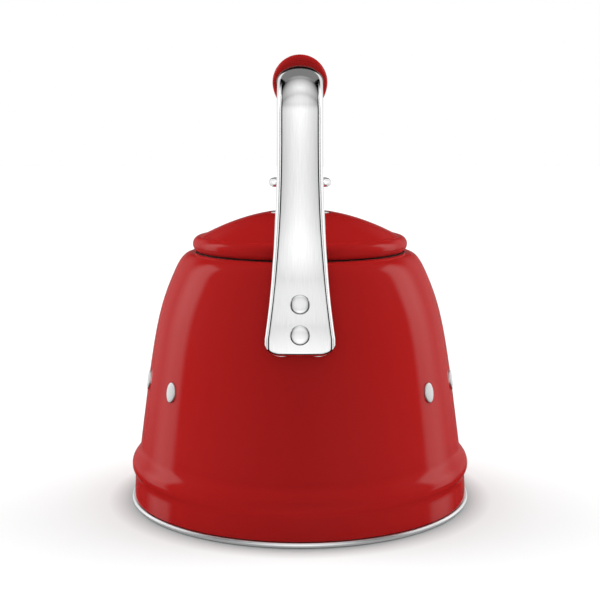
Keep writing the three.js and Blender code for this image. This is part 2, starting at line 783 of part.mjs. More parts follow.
function gripCap() {
  const low = GRIP_LENGTH + GAP;
  const high = low + CAP_THICKNESS;
  const seat = high - 2.6;
  const hole = GRIP_SCREW_RADIUS + GAP;
  const sink = GRIP_SCREW_HEAD + GAP;
  const edge = point(gripRadius - 0.4, low + 1);
  return turned([
    point(hole, GRIP_LENGTH - CAP_SPIGOT_LENGTH),
    point(CAP_SPIGOT_RADIUS, GRIP_LENGTH - CAP_SPIGOT_LENGTH),
    point(CAP_SPIGOT_RADIUS, low),
    point(edge.x, low),
    edge,
    ...bend(edge, point(edge.x - 0.3, high - 1), point(edge.x - 5, high), point(sink + 0.6, high), 4),
    point(sink, high - 0.4),
    point(sink, seat),
    point(hole, seat),
    point(hole, GRIP_LENGTH - CAP_SPIGOT_LENGTH),
  ], SMALL_STEPS);
}

function gripScrew() {
  const seat = GRIP_LENGTH + GAP + CAP_THICKNESS - 2.6 + GAP;
  const tip = GRIP_LENGTH - TANG_END - GRIP_SCREW_GRIP;
  return turned([
    point(0, tip),
    point(GRIP_SCREW_RADIUS, tip),
    point(GRIP_SCREW_RADIUS, seat),
    point(GRIP_SCREW_HEAD, seat),
    point(GRIP_SCREW_HEAD, seat + 1.2),
    point(GRIP_SCREW_HEAD - 1, seat + 1.9),
    point(0, seat + 2),
  ], HOLE_STEPS);
}

// ---- Badges, plain ovals in a row down each side ----

function badge() {
  const options = { depth: BADGE_THICKNESS, bevelEnabled: false, curveSegments: 7 };
  const oval = ellipse(BADGE_HALF_WIDTH, BADGE_HALF_HEIGHT);
  return new THREE.ExtrudeGeometry(oval, options).translate(0, 0, GAP);
}

// Row of badges on one side, spread evenly about the middle of that side.
function addBadges(side, sign) {
  for (let i = 0; i < BADGES_PER_SIDE; i += 1) {
    const offCentre = (i - (BADGES_PER_SIDE - 1) / 2) * BADGE_PITCH;
    const turn = new THREE.Group();
    turn.rotation.z = sign * degrees(90 + offCentre);
    const tilt = wallLean(BADGE_HEIGHT) - Math.PI / 2;
    const face = leaning(turn, -bodyRadius(BADGE_HEIGHT), BADGE_HEIGHT, tilt);
    add(face, `badge_${side}_${i + 1}`, badge(), polishedSteel);
    kettle.add(turn);
  }
}

// ---- Assembly ----

add(kettle, 'body_shell', bodyShell(), redEnamel);
add(kettle, 'mouth_ring', mouthRing(), redEnamel);
add(kettle, 'base_pan', basePan(), satinSteel);
add(kettle, 'heat_spreader', heatSpreader(), aluminium);
add(kettle, 'base_plate', basePlate(), satinSteel);
add(kettle, 'handle_strap', handleStrap(), polishedSteel);
add(kettle, 'backing_plate', backingPlate(), satinSteel);
rivetFrames.forEach(({ name, frame }) => add(frame, name, rivet(), polishedSteel));
addBadges('right', 1);
addBadges('left', -1);

add(spoutFrame, 'spout_tube', spoutTube(), redEnamel);
add(spoutFrame, 'spout_collar', spoutCollar(), polishedSteel);
add(spoutFrame, 'whistle_sleeve', whistleSleeve(), satinSteel);
add(spoutFrame, 'whistle_seal', whistleSeal(), blackRubber);
add(spoutFrame, 'whistle_inner_disc', whistleDisc(innerDiscLow), satinSteel);
add(spoutFrame, 'whistle_spacer', whistleSpacer(), satinSteel);
add(spoutFrame, 'whistle_outer_disc', whistleDisc(outerDiscLow), satinSteel);
add(spoutFrame, 'whistle_grip', whistleGrip(), blackPlastic);

add(gripFrame, 'handle_grip', handleGrip(), redGloss);
add(gripFrame, 'grip_core', gripCore(), blackPlastic);
add(gripFrame, 'grip_cap', gripCap(), polishedSteel);
add(gripFrame, 'grip_screw', gripScrew(), polishedSteel);

add(kettle, 'lid_shell', lidShell(), redEnamel);
add(kettle, 'lid_liner', lidLiner(), satinSteel);
add(kettle, 'lid_seal', lidSeal(), blackRubber);
add(kettle, 'lid_spacer', lidSpacer(), satinSteel);
add(kettle, 'knob_flange', knobFlange(), polishedSteel);
add(kettle, 'lid_knob', lidKnob(), polishedSteel);
add(kettle, 'knob_washer', ring(screwHole, 6, washerLow, washerTop, HOLE_STEPS), satinSteel);
add(kettle, 'knob_screw', knobScrew(), satinSteel);

export default kettle;
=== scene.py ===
"""Stovetop whistling kettle: finished surfaces, materials and studio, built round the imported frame."""

import json
import math

import bpy
from bpy.props import FloatProperty, FloatVectorProperty, IntProperty, PointerProperty
from mathutils import Matrix, Vector


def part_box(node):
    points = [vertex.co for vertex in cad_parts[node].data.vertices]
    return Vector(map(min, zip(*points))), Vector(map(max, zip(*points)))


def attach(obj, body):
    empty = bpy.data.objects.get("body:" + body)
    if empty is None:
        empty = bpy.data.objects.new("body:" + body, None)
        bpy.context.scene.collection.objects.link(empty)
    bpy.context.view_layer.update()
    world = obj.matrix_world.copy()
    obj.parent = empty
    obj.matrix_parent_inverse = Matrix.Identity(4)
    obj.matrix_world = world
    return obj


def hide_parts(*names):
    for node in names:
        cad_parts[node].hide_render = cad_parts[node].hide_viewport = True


bl_info = {
    "name": "Whistling Kettle",
    "version": (1, 0, 0),
    "blender": (4, 5, 0),
    "location": "3D View > Sidebar > Kettle",
    "description": "Builds an enamelled stovetop kettle round its packed frame",
    "category": "Add Mesh",
}

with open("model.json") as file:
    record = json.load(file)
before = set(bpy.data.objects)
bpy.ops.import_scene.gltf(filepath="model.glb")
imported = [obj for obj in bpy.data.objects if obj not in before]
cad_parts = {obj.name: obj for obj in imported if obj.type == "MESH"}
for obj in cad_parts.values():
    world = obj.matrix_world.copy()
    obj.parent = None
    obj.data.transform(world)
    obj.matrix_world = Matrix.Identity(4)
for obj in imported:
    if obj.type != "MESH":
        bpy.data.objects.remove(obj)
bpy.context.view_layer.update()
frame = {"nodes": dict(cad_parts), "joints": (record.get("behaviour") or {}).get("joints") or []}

# ---- Sizes, in metres; places come from the frame ----

MM = 0.001
TURN = 2 * math.pi
ROUND_STEPS = 256                 # facets round the body and the lid
SMALL_STEPS = 128                 # facets round the small turned pieces
GAP = 0.3 * MM                    # clearance that the frame keeps between touching pieces
SHARP = math.radians(38)          # edges that turn further than this stay crisp


def lowest(node):
    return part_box(node)[0]


def highest(node):
    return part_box(node)[1]


def middle(node):
    return (lowest(node) + highest(node)) / 2


SEAT_HEIGHT = highest("body_shell").z
LID_RADIUS = highest("lid_shell").x
LID_EDGE = lowest("lid_shell").z
BASE_RADIUS = highest("base_pan").x
SHELL_WALL = 1.2 * MM
LID_WALL = 1 * MM


# ---- Outlines: points (radius, height) with the material on the left ----

def spot(radius, height):
    return Vector((radius, height))


def curve(start, handle_a, handle_b, end, steps):
    """Points of a cubic curve, without its first one."""
    points = []
    for i in range(1, steps + 1):
        t = i / steps
        s = 1 - t
        points.append(start * s ** 3 + handle_a * 3 * s * s * t + handle_b * 3 * s * t * t + end * t ** 3)
    return points


def softened(corners, rounding, steps=5):
    """Outline through these corners, each one rounded off, with a short straight run held on either side."""
    outline = [corners[0]]
    for before, corner, after in zip(corners, corners[1:], corners[2:]):
        reach = min(rounding, 0.4 * (corner - before).length, 0.4 * (after - corner).length)
        back = (before - corner).normalized()
        on = (after - corner).normalized()
        outline.append(corner + back * reach * 1.2)
        start, end = corner + back * reach, corner + on * reach
        for i in range(steps + 1):
            t = i / steps
            outline.append(start * (1 - t) ** 2 + corner * 2 * t * (1 - t) + end * t * t)
        outline.append(corner + on * reach * 1.2)
    outline.append(corners[-1])
    return outline


def softened_loop(corners, rounding, steps=5):
    """The same for an outline that closes on itself; it starts and ends at the middle of its first side."""
    start = (corners[0] + corners[1]) / 2
    return softened([start, *corners[1:], corners[0], start], rounding, steps)


def ring_outline(inner, outer, low, high, rounding):
    corners = [spot(inner, low), spot(outer, low), spot(outer, high), spot(inner, high)]
    return softened_loop(corners, rounding)


def offset(line, distance):
    """Line moved sideways: positive is to the left of its direction."""
    moved = []
    for i, here in enumerate(line):
        along = (line[min(i + 1, len(line) - 1)] - line[max(i - 1, 0)]).normalized()
        moved.append(spot(here.x - along.y * distance, here.y + along.x * distance))
    return moved


def pressed(line, wall):
    """Closed outline of a thin wall whose outer face follows the line."""
    return [*line, *reversed(offset(line, wall)), line[0]]


# ---- Meshes ----

def skin(name, rings, joined=False):
    """Surface through rings of points. A ring of one point is a pole; joined closes it on its first ring."""
    points, starts = [], []
    for ring in rings:
        starts.append(len(points))
        points.extend(ring)
    pairs = list(zip(range(len(rings)), range(1, len(rings))))
    if joined:
        pairs.append((len(rings) - 1, 0))
    faces = []
    for low, high in pairs:
        count = max(len(rings[low]), len(rings[high]))
        for i in range(count):
            j = (i + 1) % count
            face = [starts[low] + (k if len(rings[low]) > 1 else 0) for k in (i, j)]
            face += [starts[high] + (k if len(rings[high]) > 1 else 0) for k in (j, i)]
            faces.append(list(dict.fromkeys(face)))
    mesh = bpy.data.meshes.new(name)
    mesh.from_pydata(points, [], faces)
    mesh.validate()
    return show(name, mesh)


def show(name, mesh):
    mesh.shade_smooth()
    mesh.set_sharp_from_angle(angle=SHARP)
    piece = bpy.data.objects.new(name, mesh)
    bpy.context.scene.collection.objects.link(piece)
    return piece


def circle(radius, height, steps, place):
    if radius < 1e-9:
        return [place @ Vector((0, 0, height))]
    turns = (TURN * i / steps for i in range(steps))
    return [place @ Vector((radius * math.cos(a), radius * math.sin(a), height)) for a in turns]


def turned(name, outline, steps=SMALL_STEPS, place=Matrix()):
    """Solid of revolution about the local Z axis; an outline that ends where it starts is a closed ring."""
    joined = (outline[0] - outline[-1]).length < 1e-9
    line = outline[:-1] if joined else outline
    return skin(name, [circle(p.x, p.y, steps, place) for p in line], joined)


def plain_mesh(source, name):
    """Mesh object made from another one with its modifiers applied; the source is removed."""
    graph = bpy.context.evaluated_depsgraph_get()
    mesh = bpy.data.meshes.new_from_object(source.evaluated_get(graph))
    bpy.data.objects.remove(source)
    mesh.name = name
    piece = bpy.data.objects.new(name, mesh)
    bpy.context.scene.collection.objects.link(piece)
    return piece


def cut(piece, tool):
    """Piece with the tool's shape taken out of it."""
    name = piece.name
    change = piece.modifiers.new("Cut", "BOOLEAN")
    change.operation = "DIFFERENCE"
    change.solver = "EXACT"
    change.object = tool
    piece.name = name + "_uncut"
    result = plain_mesh(piece, name)
    bpy.data.objects.remove(tool)
    result.data.set_sharp_from_angle(angle=SHARP)
    return result


def settle(piece, body, material, slot, *nodes):
    """Gives a finished piece its material if it has none yet, and its body, and hides the frame nodes that it
    stands for; the slot is not used.
    """
    if not piece.data.materials:
        piece.data.materials.append(material)
    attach(piece, body)
    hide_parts(*nodes)
    return piece


# ---- Body outline, shared by everything that meets the shell ----

HEM = spot(BASE_RADIUS - 1.6 * MM, lowest("body_shell").z)
BEAD = spot(highest("body_shell").x, 22 * MM)
BAND_TOP = spot(BEAD.x - 1.7 * MM, 15 * MM)
WAIST = spot(BEAD.x - 5.2 * MM, 34 * MM)
SHOULDER = spot(LID_RADIUS + 10 * MM, SEAT_HEIGHT - 8.5 * MM)
SEAT = spot(LID_RADIUS - 1.8 * MM, SEAT_HEIGHT + 0.8 * MM)
MOUTH_RADIUS = LID_RADIUS - 8.3 * MM
NECK_ROUND = 3 * MM
NECK_DEPTH = 10.5 * MM
SPOUT_HOLE = 17 * MM              # radius of the hole in the shell under the spout
SPOUT_HOLE_REACH = 28 * MM        # how far to each side of the wall the hole is cut


def body_line():
    mid = (BAND_TOP.y + BEAD.y) / 2
    run = SHOULDER - WAIST
    low_handle = WAIST + spot(0.4 * run.x, 0.63 * run.y)
    high_handle = WAIST + spot(0.49 * run.x, 0.77 * run.y)
    wall_end = (SHOULDER - high_handle).normalized()
    over = SHOULDER + wall_end * ((SEAT.y - SHOULDER.y) / wall_end.y)
    under_bead = spot(BAND_TOP.x, mid)
    above_bead = spot(BEAD.x, BEAD.y + 5.5 * MM)
    to_waist = spot(WAIST.x + 0.4 * MM, WAIST.y - 5.5 * MM)
    return [
        HEM,
        *curve(HEM, HEM.lerp(BAND_TOP, 0.3), HEM.lerp(BAND_TOP, 0.7), BAND_TOP, 6),
        *curve(BAND_TOP, under_bead, spot(BEAD.x, mid), BEAD, 12),
        *curve(BEAD, above_bead, to_waist, WAIST, 16),
        *curve(WAIST, low_handle, high_handle, SHOULDER, 48),
        *curve(SHOULDER, over, spot(SEAT.x + 4 * MM, SEAT.y), SEAT, 16),
    ]


OUTER_LINE = body_line()


def body_radius(height):
    """Radius of the shell's outside at a height."""
    for low, high in zip(OUTER_LINE, OUTER_LINE[1:]):
        if low.y <= height <= high.y:
            return low.x + (high.x - low.x) * (height - low.y) / (high.y - low.y)
    return OUTER_LINE[0].x if height < OUTER_LINE[0].y else OUTER_LINE[-1].x


def wall_lean(height):
    """Angle by which the wall leans inwards at a height."""
    span = 4.7 * MM
    return math.atan2(body_radius(height - span) - body_radius(height + span), 2 * span)


# ---- Spout axis, found from the whistle's disc and the direction in which the whistle pulls out ----

PULL = next(Vector(j["axis"]) for j in frame["joints"] if j["child"] == "whistle").normalized()


def spout_place():
    """Matrix of the spout: local Z runs up its axis, from where the axis leaves the shell."""
    origin = middle("whistle_outer_disc")
    step = 0.05 * MM
    while origin.xy.length > body_radius(origin.z):
        origin = origin - PULL * step
    side = Vector((1, 0, 0))
    up = PULL.cross(side)
    return Matrix.Translation(origin) @ Matrix((side, up, PULL)).transposed().to_4x4()


SPOUT = spout_place()


# ---- Shader node helpers ----

def node(tree, kind, inputs=None, **settings):
    made = tree.nodes.new(kind)
    for key, value in settings.items():
        setattr(made, key, value)
    for key, value in (inputs or {}).items():
        if isinstance(value, bpy.types.NodeSocket):
            tree.links.new(value, made.inputs[key])
        else:
            made.inputs[key].default_value = value
    return made


def maths(tree, operation, a, b=0.0):
    return node(tree, "ShaderNodeMath", {0: a, 1: b}, operation=operation).outputs[0]


def shader_group(name, inputs, outputs):
    """Empty node group with number inputs {name: default} and number outputs, and its two end nodes."""
    group = bpy.data.node_groups.new(name, "ShaderNodeTree")
    for label, default in inputs.items():
        socket = group.interface.new_socket(label, in_out="INPUT", socket_type="NodeSocketFloat")
        socket.default_value = default
    for label in outputs:
        group.interface.new_socket(label, in_out="OUTPUT", socket_type="NodeSocketFloat")
    return group, node(group, "NodeGroupInput").outputs, node(group, "NodeGroupOutput").inputs


def place_group(tree, name, **values):
    inputs = {key.replace("_", " "): value for key, value in values.items()}
    return node(tree, "ShaderNodeGroup", inputs, node_tree=bpy.data.node_groups[name]).outputs


def object_noise(group, scale, detail, stretch=(1, 1, 1)):
    """Noise on the piece's own coordinates, drawn out along an axis by a small stretch there."""
    coords = node(group, "ShaderNodeTexCoord").outputs["Object"]
    drawn = node(group, "ShaderNodeMapping", {"Vector": coords, "Scale": stretch}).outputs[0]
    settings = {"Vector": drawn, "Scale": scale, "Detail": detail, "Roughness": 0.55}
    return node(group, "ShaderNodeTexNoise", settings).outputs["Fac"]


def make_grain_group():
    """Fine even grain, as in enamel frit, moulded plastic or cast metal."""
    group, given, out = shader_group("Fine Grain", {"Scale": 900, "Contrast": 1}, ["Grain", "Height"])
    noise = object_noise(group, given["Scale"], 3)
    centred = maths(group, "MULTIPLY", maths(group, "SUBTRACT", noise, 0.5), given["Contrast"])
    grain = node(group, "ShaderNodeClamp", {"Value": maths(group, "ADD", centred, 0.5)}).outputs[0]
    group.links.new(grain, out["Grain"])
    group.links.new(noise, out["Height"])


def make_smudge_group():
    """Broad soft patches, as left by wiping."""
    group, given, out = shader_group("Wiped Patches", {"Scale": 14, "Amount": 1}, ["Patches"])
    noise = object_noise(group, given["Scale"], 2)
    ramp = {"Value": noise, "From Min": 0.35, "From Max": 0.68}
    patches = node(group, "ShaderNodeMapRange", ramp, interpolation_type="SMOOTHSTEP").outputs[0]
    group.links.new(maths(group, "MULTIPLY", patches, given["Amount"]), out["Patches"])


def make_hairline_group():
    """Fine lines left by a polishing belt that runs along the piece."""
    group, given, out = shader_group("Polishing Lines", {"Scale": 260, "Haze Scale": 30}, ["Lines", "Haze"])
    lines = object_noise(group, given["Scale"], 4, stretch=(9, 1, 0.35))
    group.links.new(lines, out["Lines"])
    group.links.new(object_noise(group, given["Haze Scale"], 3), out["Haze"])


def make_turned_group():
    """Concentric tool marks round the upright axis."""
    group, given, out = shader_group("Turned Marks", {"Marks per Metre": 1400}, ["Marks", "Height"])
    coords = node(group, "ShaderNodeTexCoord").outputs["Object"]
    split = node(group, "ShaderNodeSeparateXYZ", {"Vector": coords}).outputs
    across = maths(group, "ADD", maths(group, "POWER", split["X"], 2), maths(group, "POWER", split["Y"], 2))
    radius = maths(group, "MULTIPLY", maths(group, "SQRT", across), given["Marks per Metre"])
    settings = {"W": radius, "Scale": 1, "Detail": 2}
    marks = node(group, "ShaderNodeTexNoise", settings, noise_dimensions="1D").outputs["Fac"]
    group.links.new(marks, out["Marks"])
    group.links.new(marks, out["Height"])


def make_peel_group():
    """Slow ripple of a glossy fired or moulded skin."""
    group, given, out = shader_group("Gloss Ripple", {"Scale": 120}, ["Height"])
    group.links.new(object_noise(group, given["Scale"], 1), out["Height"])


def new_finish(name):
    material = bpy.data.materials.new(name + "_finish")
    material.use_nodes = True
    return material, material.node_tree, material.node_tree.nodes["Principled BSDF"]


def between(tree, mask, low, high):
    return node(tree, "ShaderNodeMapRange", {"Value": mask, "To Min": low, "To Max": high}).outputs[0]


def shades(tree, mask, dark, light):
    inputs = {"Factor": mask, "A": dark, "B": light}
    mixed = tree.nodes.new("ShaderNodeMix")
    mixed.data_type = "RGBA"
    for socket in mixed.inputs:
        if socket.enabled and socket.name in inputs:
            value = inputs[socket.name]
            if isinstance(value, bpy.types.NodeSocket):
                tree.links.new(value, socket)
            else:
                socket.default_value = value
    return next(s for s in mixed.outputs if s.enabled)


def dent(tree, height, distance, strength=1.0):
    inputs = {"Height": height, "Distance": distance, "Strength": strength}
    return node(tree, "ShaderNodeBump", inputs).outputs["Normal"]


def tint(color, gain):
    return (*[min(c * gain, 1) for c in color[:3]], 1)


# ---- Finishes ----

def painted_edge_sheen(tree):
    """Painted sheen: low where the skin is seen square on, and up to 1 at a glancing view, where it lightens
    the colour as a painted reflection.
    """
    facing = node(tree, "ShaderNodeLayerWeight", {"Blend": 0.5}).outputs["Facing"]
    broad = maths(tree, "MULTIPLY", maths(tree, "SQRT", facing), 0.185)
    return maths(tree, "ADD", broad, maths(tree, "POWER", facing, 8))


def enamel(name, color, roughness, ripple):
    """Fired glass enamel or moulded gloss: a deep colour with a faint speckle under a rippled shine, and a
    painted sheen that lightens the colour at a glancing view.
    """
    material, tree, shader = new_finish(name)
    grain = place_group(tree, "Fine Grain", Scale=1500, Contrast=2)
    patches = place_group(tree, "Wiped Patches", Scale=16)
    peel = place_group(tree, "Gloss Ripple", Scale=170)
    speckled = maths(tree, "MULTIPLY", maths(tree, "SUBTRACT", grain["Grain"], 0.5), 0.02)
    # The mix mask is the painted sheen plus the enamel's own faint speckle; its light end, 3.2 times the
    # colour, is a painted highlight at the edges.
    base = shades(tree, maths(tree, "ADD", painted_edge_sheen(tree), speckled), tint(color, 1), tint(color, 3.2))
    tree.links.new(base, shader.inputs["Base Color"])
    shine = between(tree, patches["Patches"], roughness, roughness + 0.04)
    tree.links.new(shine, shader.inputs["Roughness"])
    tree.links.new(dent(tree, peel["Height"], ripple), shader.inputs["Normal"])
    shader.inputs["IOR"].default_value = 1.5
    return material


def bare_metal(name, color, roughness, haze, scratch):
    """Polished or brushed steel: belt lines in the shine, and a haze that comes and goes."""
    material, tree, shader = new_finish(name)
    lines = place_group(tree, "Polishing Lines", Scale=300, Haze_Scale=36)
    patches = place_group(tree, "Wiped Patches", Scale=22)
    base = shades(tree, lines["Lines"], tint(color, 0.88), tint(color, 1.06))
    tree.links.new(base, shader.inputs["Base Color"])
    wiped = maths(tree, "MULTIPLY", patches["Patches"], haze)
    shine = maths(tree, "ADD", between(tree, lines["Lines"], roughness - haze / 2, roughness + haze), wiped)
    tree.links.new(shine, shader.inputs["Roughness"])
    tree.links.new(dent(tree, lines["Lines"], scratch), shader.inputs["Normal"])
    shader.inputs["Metallic"].default_value = 1
    return material


def turned_metal(name, color, roughness, groove):
    """Metal faced on a lathe, with concentric marks and a fine cast or ground grain."""
    material, tree, shader = new_finish(name)
    marks = place_group(tree, "Turned Marks", Marks_per_Metre=1500)
    grain = place_group(tree, "Fine Grain", Scale=700, Contrast=1.5)
    base = shades(tree, marks["Marks"], tint(color, 0.9), tint(color, 1.06))
    tree.links.new(base, shader.inputs["Base Color"])
    shine = between(tree, grain["Grain"], roughness, roughness + 0.14)
    tree.links.new(shine, shader.inputs["Roughness"])
    tree.links.new(dent(tree, marks["Height"], groove), shader.inputs["Normal"])
    shader.inputs["Metallic"].default_value = 1
    return material


def moulded(name, color, roughness, texture):
    """Matt rubber or plastic: a fine moulded texture with dull and rubbed patches."""
    material, tree, shader = new_finish(name)
    grain = place_group(tree, "Fine Grain", Scale=2600, Contrast=1.6)
    patches = place_group(tree, "Wiped Patches", Scale=60)
    base = shades(tree, grain["Grain"], tint(color, 0.8), tint(color, 1.35))
    tree.links.new(base, shader.inputs["Base Color"])
    shine = between(tree, patches["Patches"], roughness - 0.08, roughness + 0.06)
    tree.links.new(shine, shader.inputs["Roughness"])
    tree.links.new(dent(tree, grain["Height"], texture), shader.inputs["Normal"])
    return material


STEEL = (0.9, 0.9, 0.905)
SATIN = (0.6, 0.605, 0.615)


def make_groups():
    make_grain_group()
    make_smudge_group()
    make_hairline_group()
    make_turned_group()
    make_peel_group()


def make_finishes(colors):
    """Every finish of the kettle, by the record's slot names."""
    enamel("red_enamel", colors.enamel_color, colors.enamel_roughness, 0.012 * MM)
    enamel("red_grip", colors.grip_color, colors.enamel_roughness + 0.05, 0.02 * MM)
    bare_metal("polished_steel", STEEL, colors.steel_roughness, 0.03, 0.001 * MM)
    bare_metal("badge_steel", (0.86, 0.86, 0.86), 0.3, 0.06, 0.002 * MM)
    bare_metal("inner_steel", SATIN, 0.32, 0.08, 0.004 * MM)
    turned_metal("base_steel", (0.84, 0.845, 0.85), 0.26, 0.006 * MM)
    turned_metal("spreader_aluminium", (0.52, 0.53, 0.54), 0.4, 0.012 * MM)
    moulded("black_silicone", (0.012, 0.012, 0.013), 0.6, 0.01 * MM)
    moulded("black_plastic", (0.018, 0.018, 0.019), 0.42, 0.02 * MM)


def finish(name):
    return bpy.data.materials[name + "_finish"]


# ---- Geometry Nodes helpers ----

SOCKETS = {
    int: "NodeSocketInt", float: "NodeSocketFloat", Vector: "NodeSocketVector",
    bpy.types.Material: "NodeSocketMaterial", bpy.types.Object: "NodeSocketObject",
}


def geometry_tree(name, inputs):
    """Geometry node tree with an input for each named value, its input sockets and its output node."""
    tree = bpy.data.node_groups.new(name, "GeometryNodeTree")
    for label, value in inputs.items():
        kind = next(socket for python, socket in SOCKETS.items() if isinstance(value, python))
        tree.interface.new_socket(label, in_out="INPUT", socket_type=kind)
    tree.interface.new_socket("Geometry", in_out="OUTPUT", socket_type="NodeSocketGeometry")
    return tree, node(tree, "NodeGroupInput").outputs, node(tree, "NodeGroupOutput")


def grown(tree, name, inputs):
    """Plain mesh object made by a tree with these values in its inputs."""
    carrier = bpy.data.objects.new(name + "_carrier", bpy.data.meshes.new(name + "_carrier"))
    bpy.context.scene.collection.objects.link(carrier)
    change = carrier.modifiers.new(name, "NODES")
    change.node_group = tree
    for item in tree.interface.items_tree:
        if item.in_out == "INPUT":
            change[item.identifier] = inputs[item.name]
    return plain_mesh(carrier, name)


def finish_tree(tree, instances, material, out):
    """Ends a tree: real geometry, smooth shading and the material."""
    real = node(tree, "GeometryNodeRealizeInstances", {"Geometry": instances}).outputs[0]
    smooth = node(tree, "GeometryNodeSetShadeSmooth", {"Geometry": real}).outputs[0]
    done = node(tree, "GeometryNodeSetMaterial", {"Geometry": smooth, "Material": material}).outputs[0]
    tree.links.new(done, out.inputs["Geometry"])


def vector(tree, x=0.0, y=0.0, z=0.0):
    return node(tree, "ShaderNodeCombineXYZ", {"X": x, "Y": y, "Z": z}).outputs[0]


# ---- Settings that a user would change ----

class KettleShape(bpy.types.PropertyGroup):
    """Sizes of the pieces that are laid out by rule"""

    badge_count: IntProperty(
        name="Badges per Side", description="Ovals in the row down each side", default=4, min=1, max=6)
    badge_pitch: FloatProperty(
        name="Badge Pitch", description="Angle between two ovals", default=math.radians(25), subtype="ANGLE")
    badge_half_width: FloatProperty(
        name="Badge Half Width", description="Half width of an oval", default=4.1 * MM,
        subtype="DISTANCE", unit="LENGTH", precision=4)
    badge_half_height: FloatProperty(
        name="Badge Half Height", description="Half height of an oval", default=5.6 * MM,
        subtype="DISTANCE", unit="LENGTH", precision=4)
    badge_thickness: FloatProperty(
        name="Badge Thickness", description="Thickness of an oval", default=1.1 * MM,
        subtype="DISTANCE", unit="LENGTH", precision=4)
    rib_count: IntProperty(
        name="Whistle Ribs", description="Finger ribs round the whistle", default=36, min=8, max=72)


class KettleFinish(bpy.types.PropertyGroup):
    """Colours and shine"""

    enamel_color: FloatVectorProperty(
        name="Enamel Colour", description="Colour of the enamelled steel", size=4, subtype="COLOR",
        min=0, max=1, default=(0.315, 0.0098, 0.0094, 1))
    grip_color: FloatVectorProperty(
        name="Grip Colour", description="Colour of the moulded grip", size=4, subtype="COLOR",
        min=0, max=1, default=(0.315, 0.0098, 0.0094, 1))
    enamel_roughness: FloatProperty(
        name="Enamel Roughness", description="Shine of the enamel", default=0.06, min=0, max=1,
        subtype="FACTOR")
    steel_roughness: FloatProperty(
        name="Steel Roughness", description="Shine of the polished steel", default=0.09, min=0.02, max=1,
        subtype="FACTOR")


class KettleStudio(bpy.types.PropertyGroup):
    """Camera and light"""

    camera_distance: FloatProperty(
        name="Camera Distance", description="Camera in front of the kettle's axis", default=0.7004,
        subtype="DISTANCE", unit="LENGTH")
    camera_height: FloatProperty(
        name="Camera Height", description="Camera above the table", default=0.2176,
        subtype="DISTANCE", unit="LENGTH")
    camera_tilt: FloatProperty(
        name="Camera Tilt", description="Camera's pitch below the horizon", default=math.radians(8.2),
        subtype="ANGLE")
    lens: FloatProperty(name="Lens", description="Focal length", default=72.2, subtype="DISTANCE_CAMERA")
    fill_light: FloatProperty(
        name="Fill Light", description="Even light from all round", default=0.78, min=0)
    side_light: FloatProperty(
        name="Side Light", description="Broad light added from both sides", default=1.7, min=0)
    softbox_light: FloatProperty(
        name="Softboxes", description="Brightness of the softboxes that the gloss mirrors", default=0.87,
        min=0)
    card_light: FloatProperty(
        name="Steel Cards", description="Brightness of the white cards that the steel mirrors", default=1.1,
        min=0)


class KETTLE_OT_finishes(bpy.types.Operator):
    """Shared surface effects, and the finish of every slot"""

    bl_idname = "kettle.finishes"
    bl_label = "Finishes"

    def execute(self, context):
        make_groups()
        make_finishes(context.scene.kettle_finish)
        return {"FINISHED"}


# ---- Body ----

def paint_inside(piece, outside, inside, is_inside):
    """Gives the faces that pass the test the second finish."""
    piece.data.materials.append(outside)
    piece.data.materials.append(inside)
    for face in piece.data.polygons:
        face.material_index = int(is_inside(face.center, face.normal))


def inside_shell(centre, normal):
    low = centre.z < SEAT_HEIGHT - NECK_DEPTH
    inner = centre.xy.length < body_radius(centre.z) - 0.5 * SHELL_WALL
    return low and inner and normal.xy.dot(centre.xy) < 0


class KETTLE_OT_body(bpy.types.Operator):
    """Pressed shell: plain band, bead, tapering wall, shoulder, lid seat and neck"""

    bl_idname = "kettle.body"
    bl_label = "Body Shell"

    def execute(self, context):
        top = spot(MOUTH_RADIUS + NECK_ROUND, SEAT_HEIGHT)
        corner = spot(MOUTH_RADIUS, SEAT_HEIGHT)
        side = spot(MOUTH_RADIUS, SEAT_HEIGHT - NECK_ROUND)
        neck_end = spot(MOUTH_RADIUS, SEAT_HEIGHT - NECK_DEPTH)
        ledge = spot(SEAT.x - 1.2 * MM, SEAT_HEIGHT)
        lip_out, lip_in = spot(SEAT.x - 0.6 * MM, SEAT.y), spot(ledge.x + 0.4 * MM, ledge.y)
        line = [
            *OUTER_LINE, *curve(SEAT, lip_out, lip_in, ledge, 6),
            top, *curve(top, corner, corner, side, 8), neck_end,
        ]
        shell = turned("body_enamel", pressed(line, SHELL_WALL), ROUND_STEPS)
        reach, bore = SPOUT_HOLE_REACH, SPOUT_HOLE
        drill = [spot(0, -reach), spot(bore, -reach), spot(bore, reach), spot(0, reach)]
        shell = cut(shell, turned("spout_hole", drill, 96, SPOUT))
        paint_inside(shell, finish("red_enamel"), finish("inner_steel"), inside_shell)
        settle(shell, "root", None, "red_enamel", "body_shell", "mouth_ring")
        return {"FINISHED"}


# ---- Base ----

RIM_INNER = BASE_RADIUS - 8.2 * MM


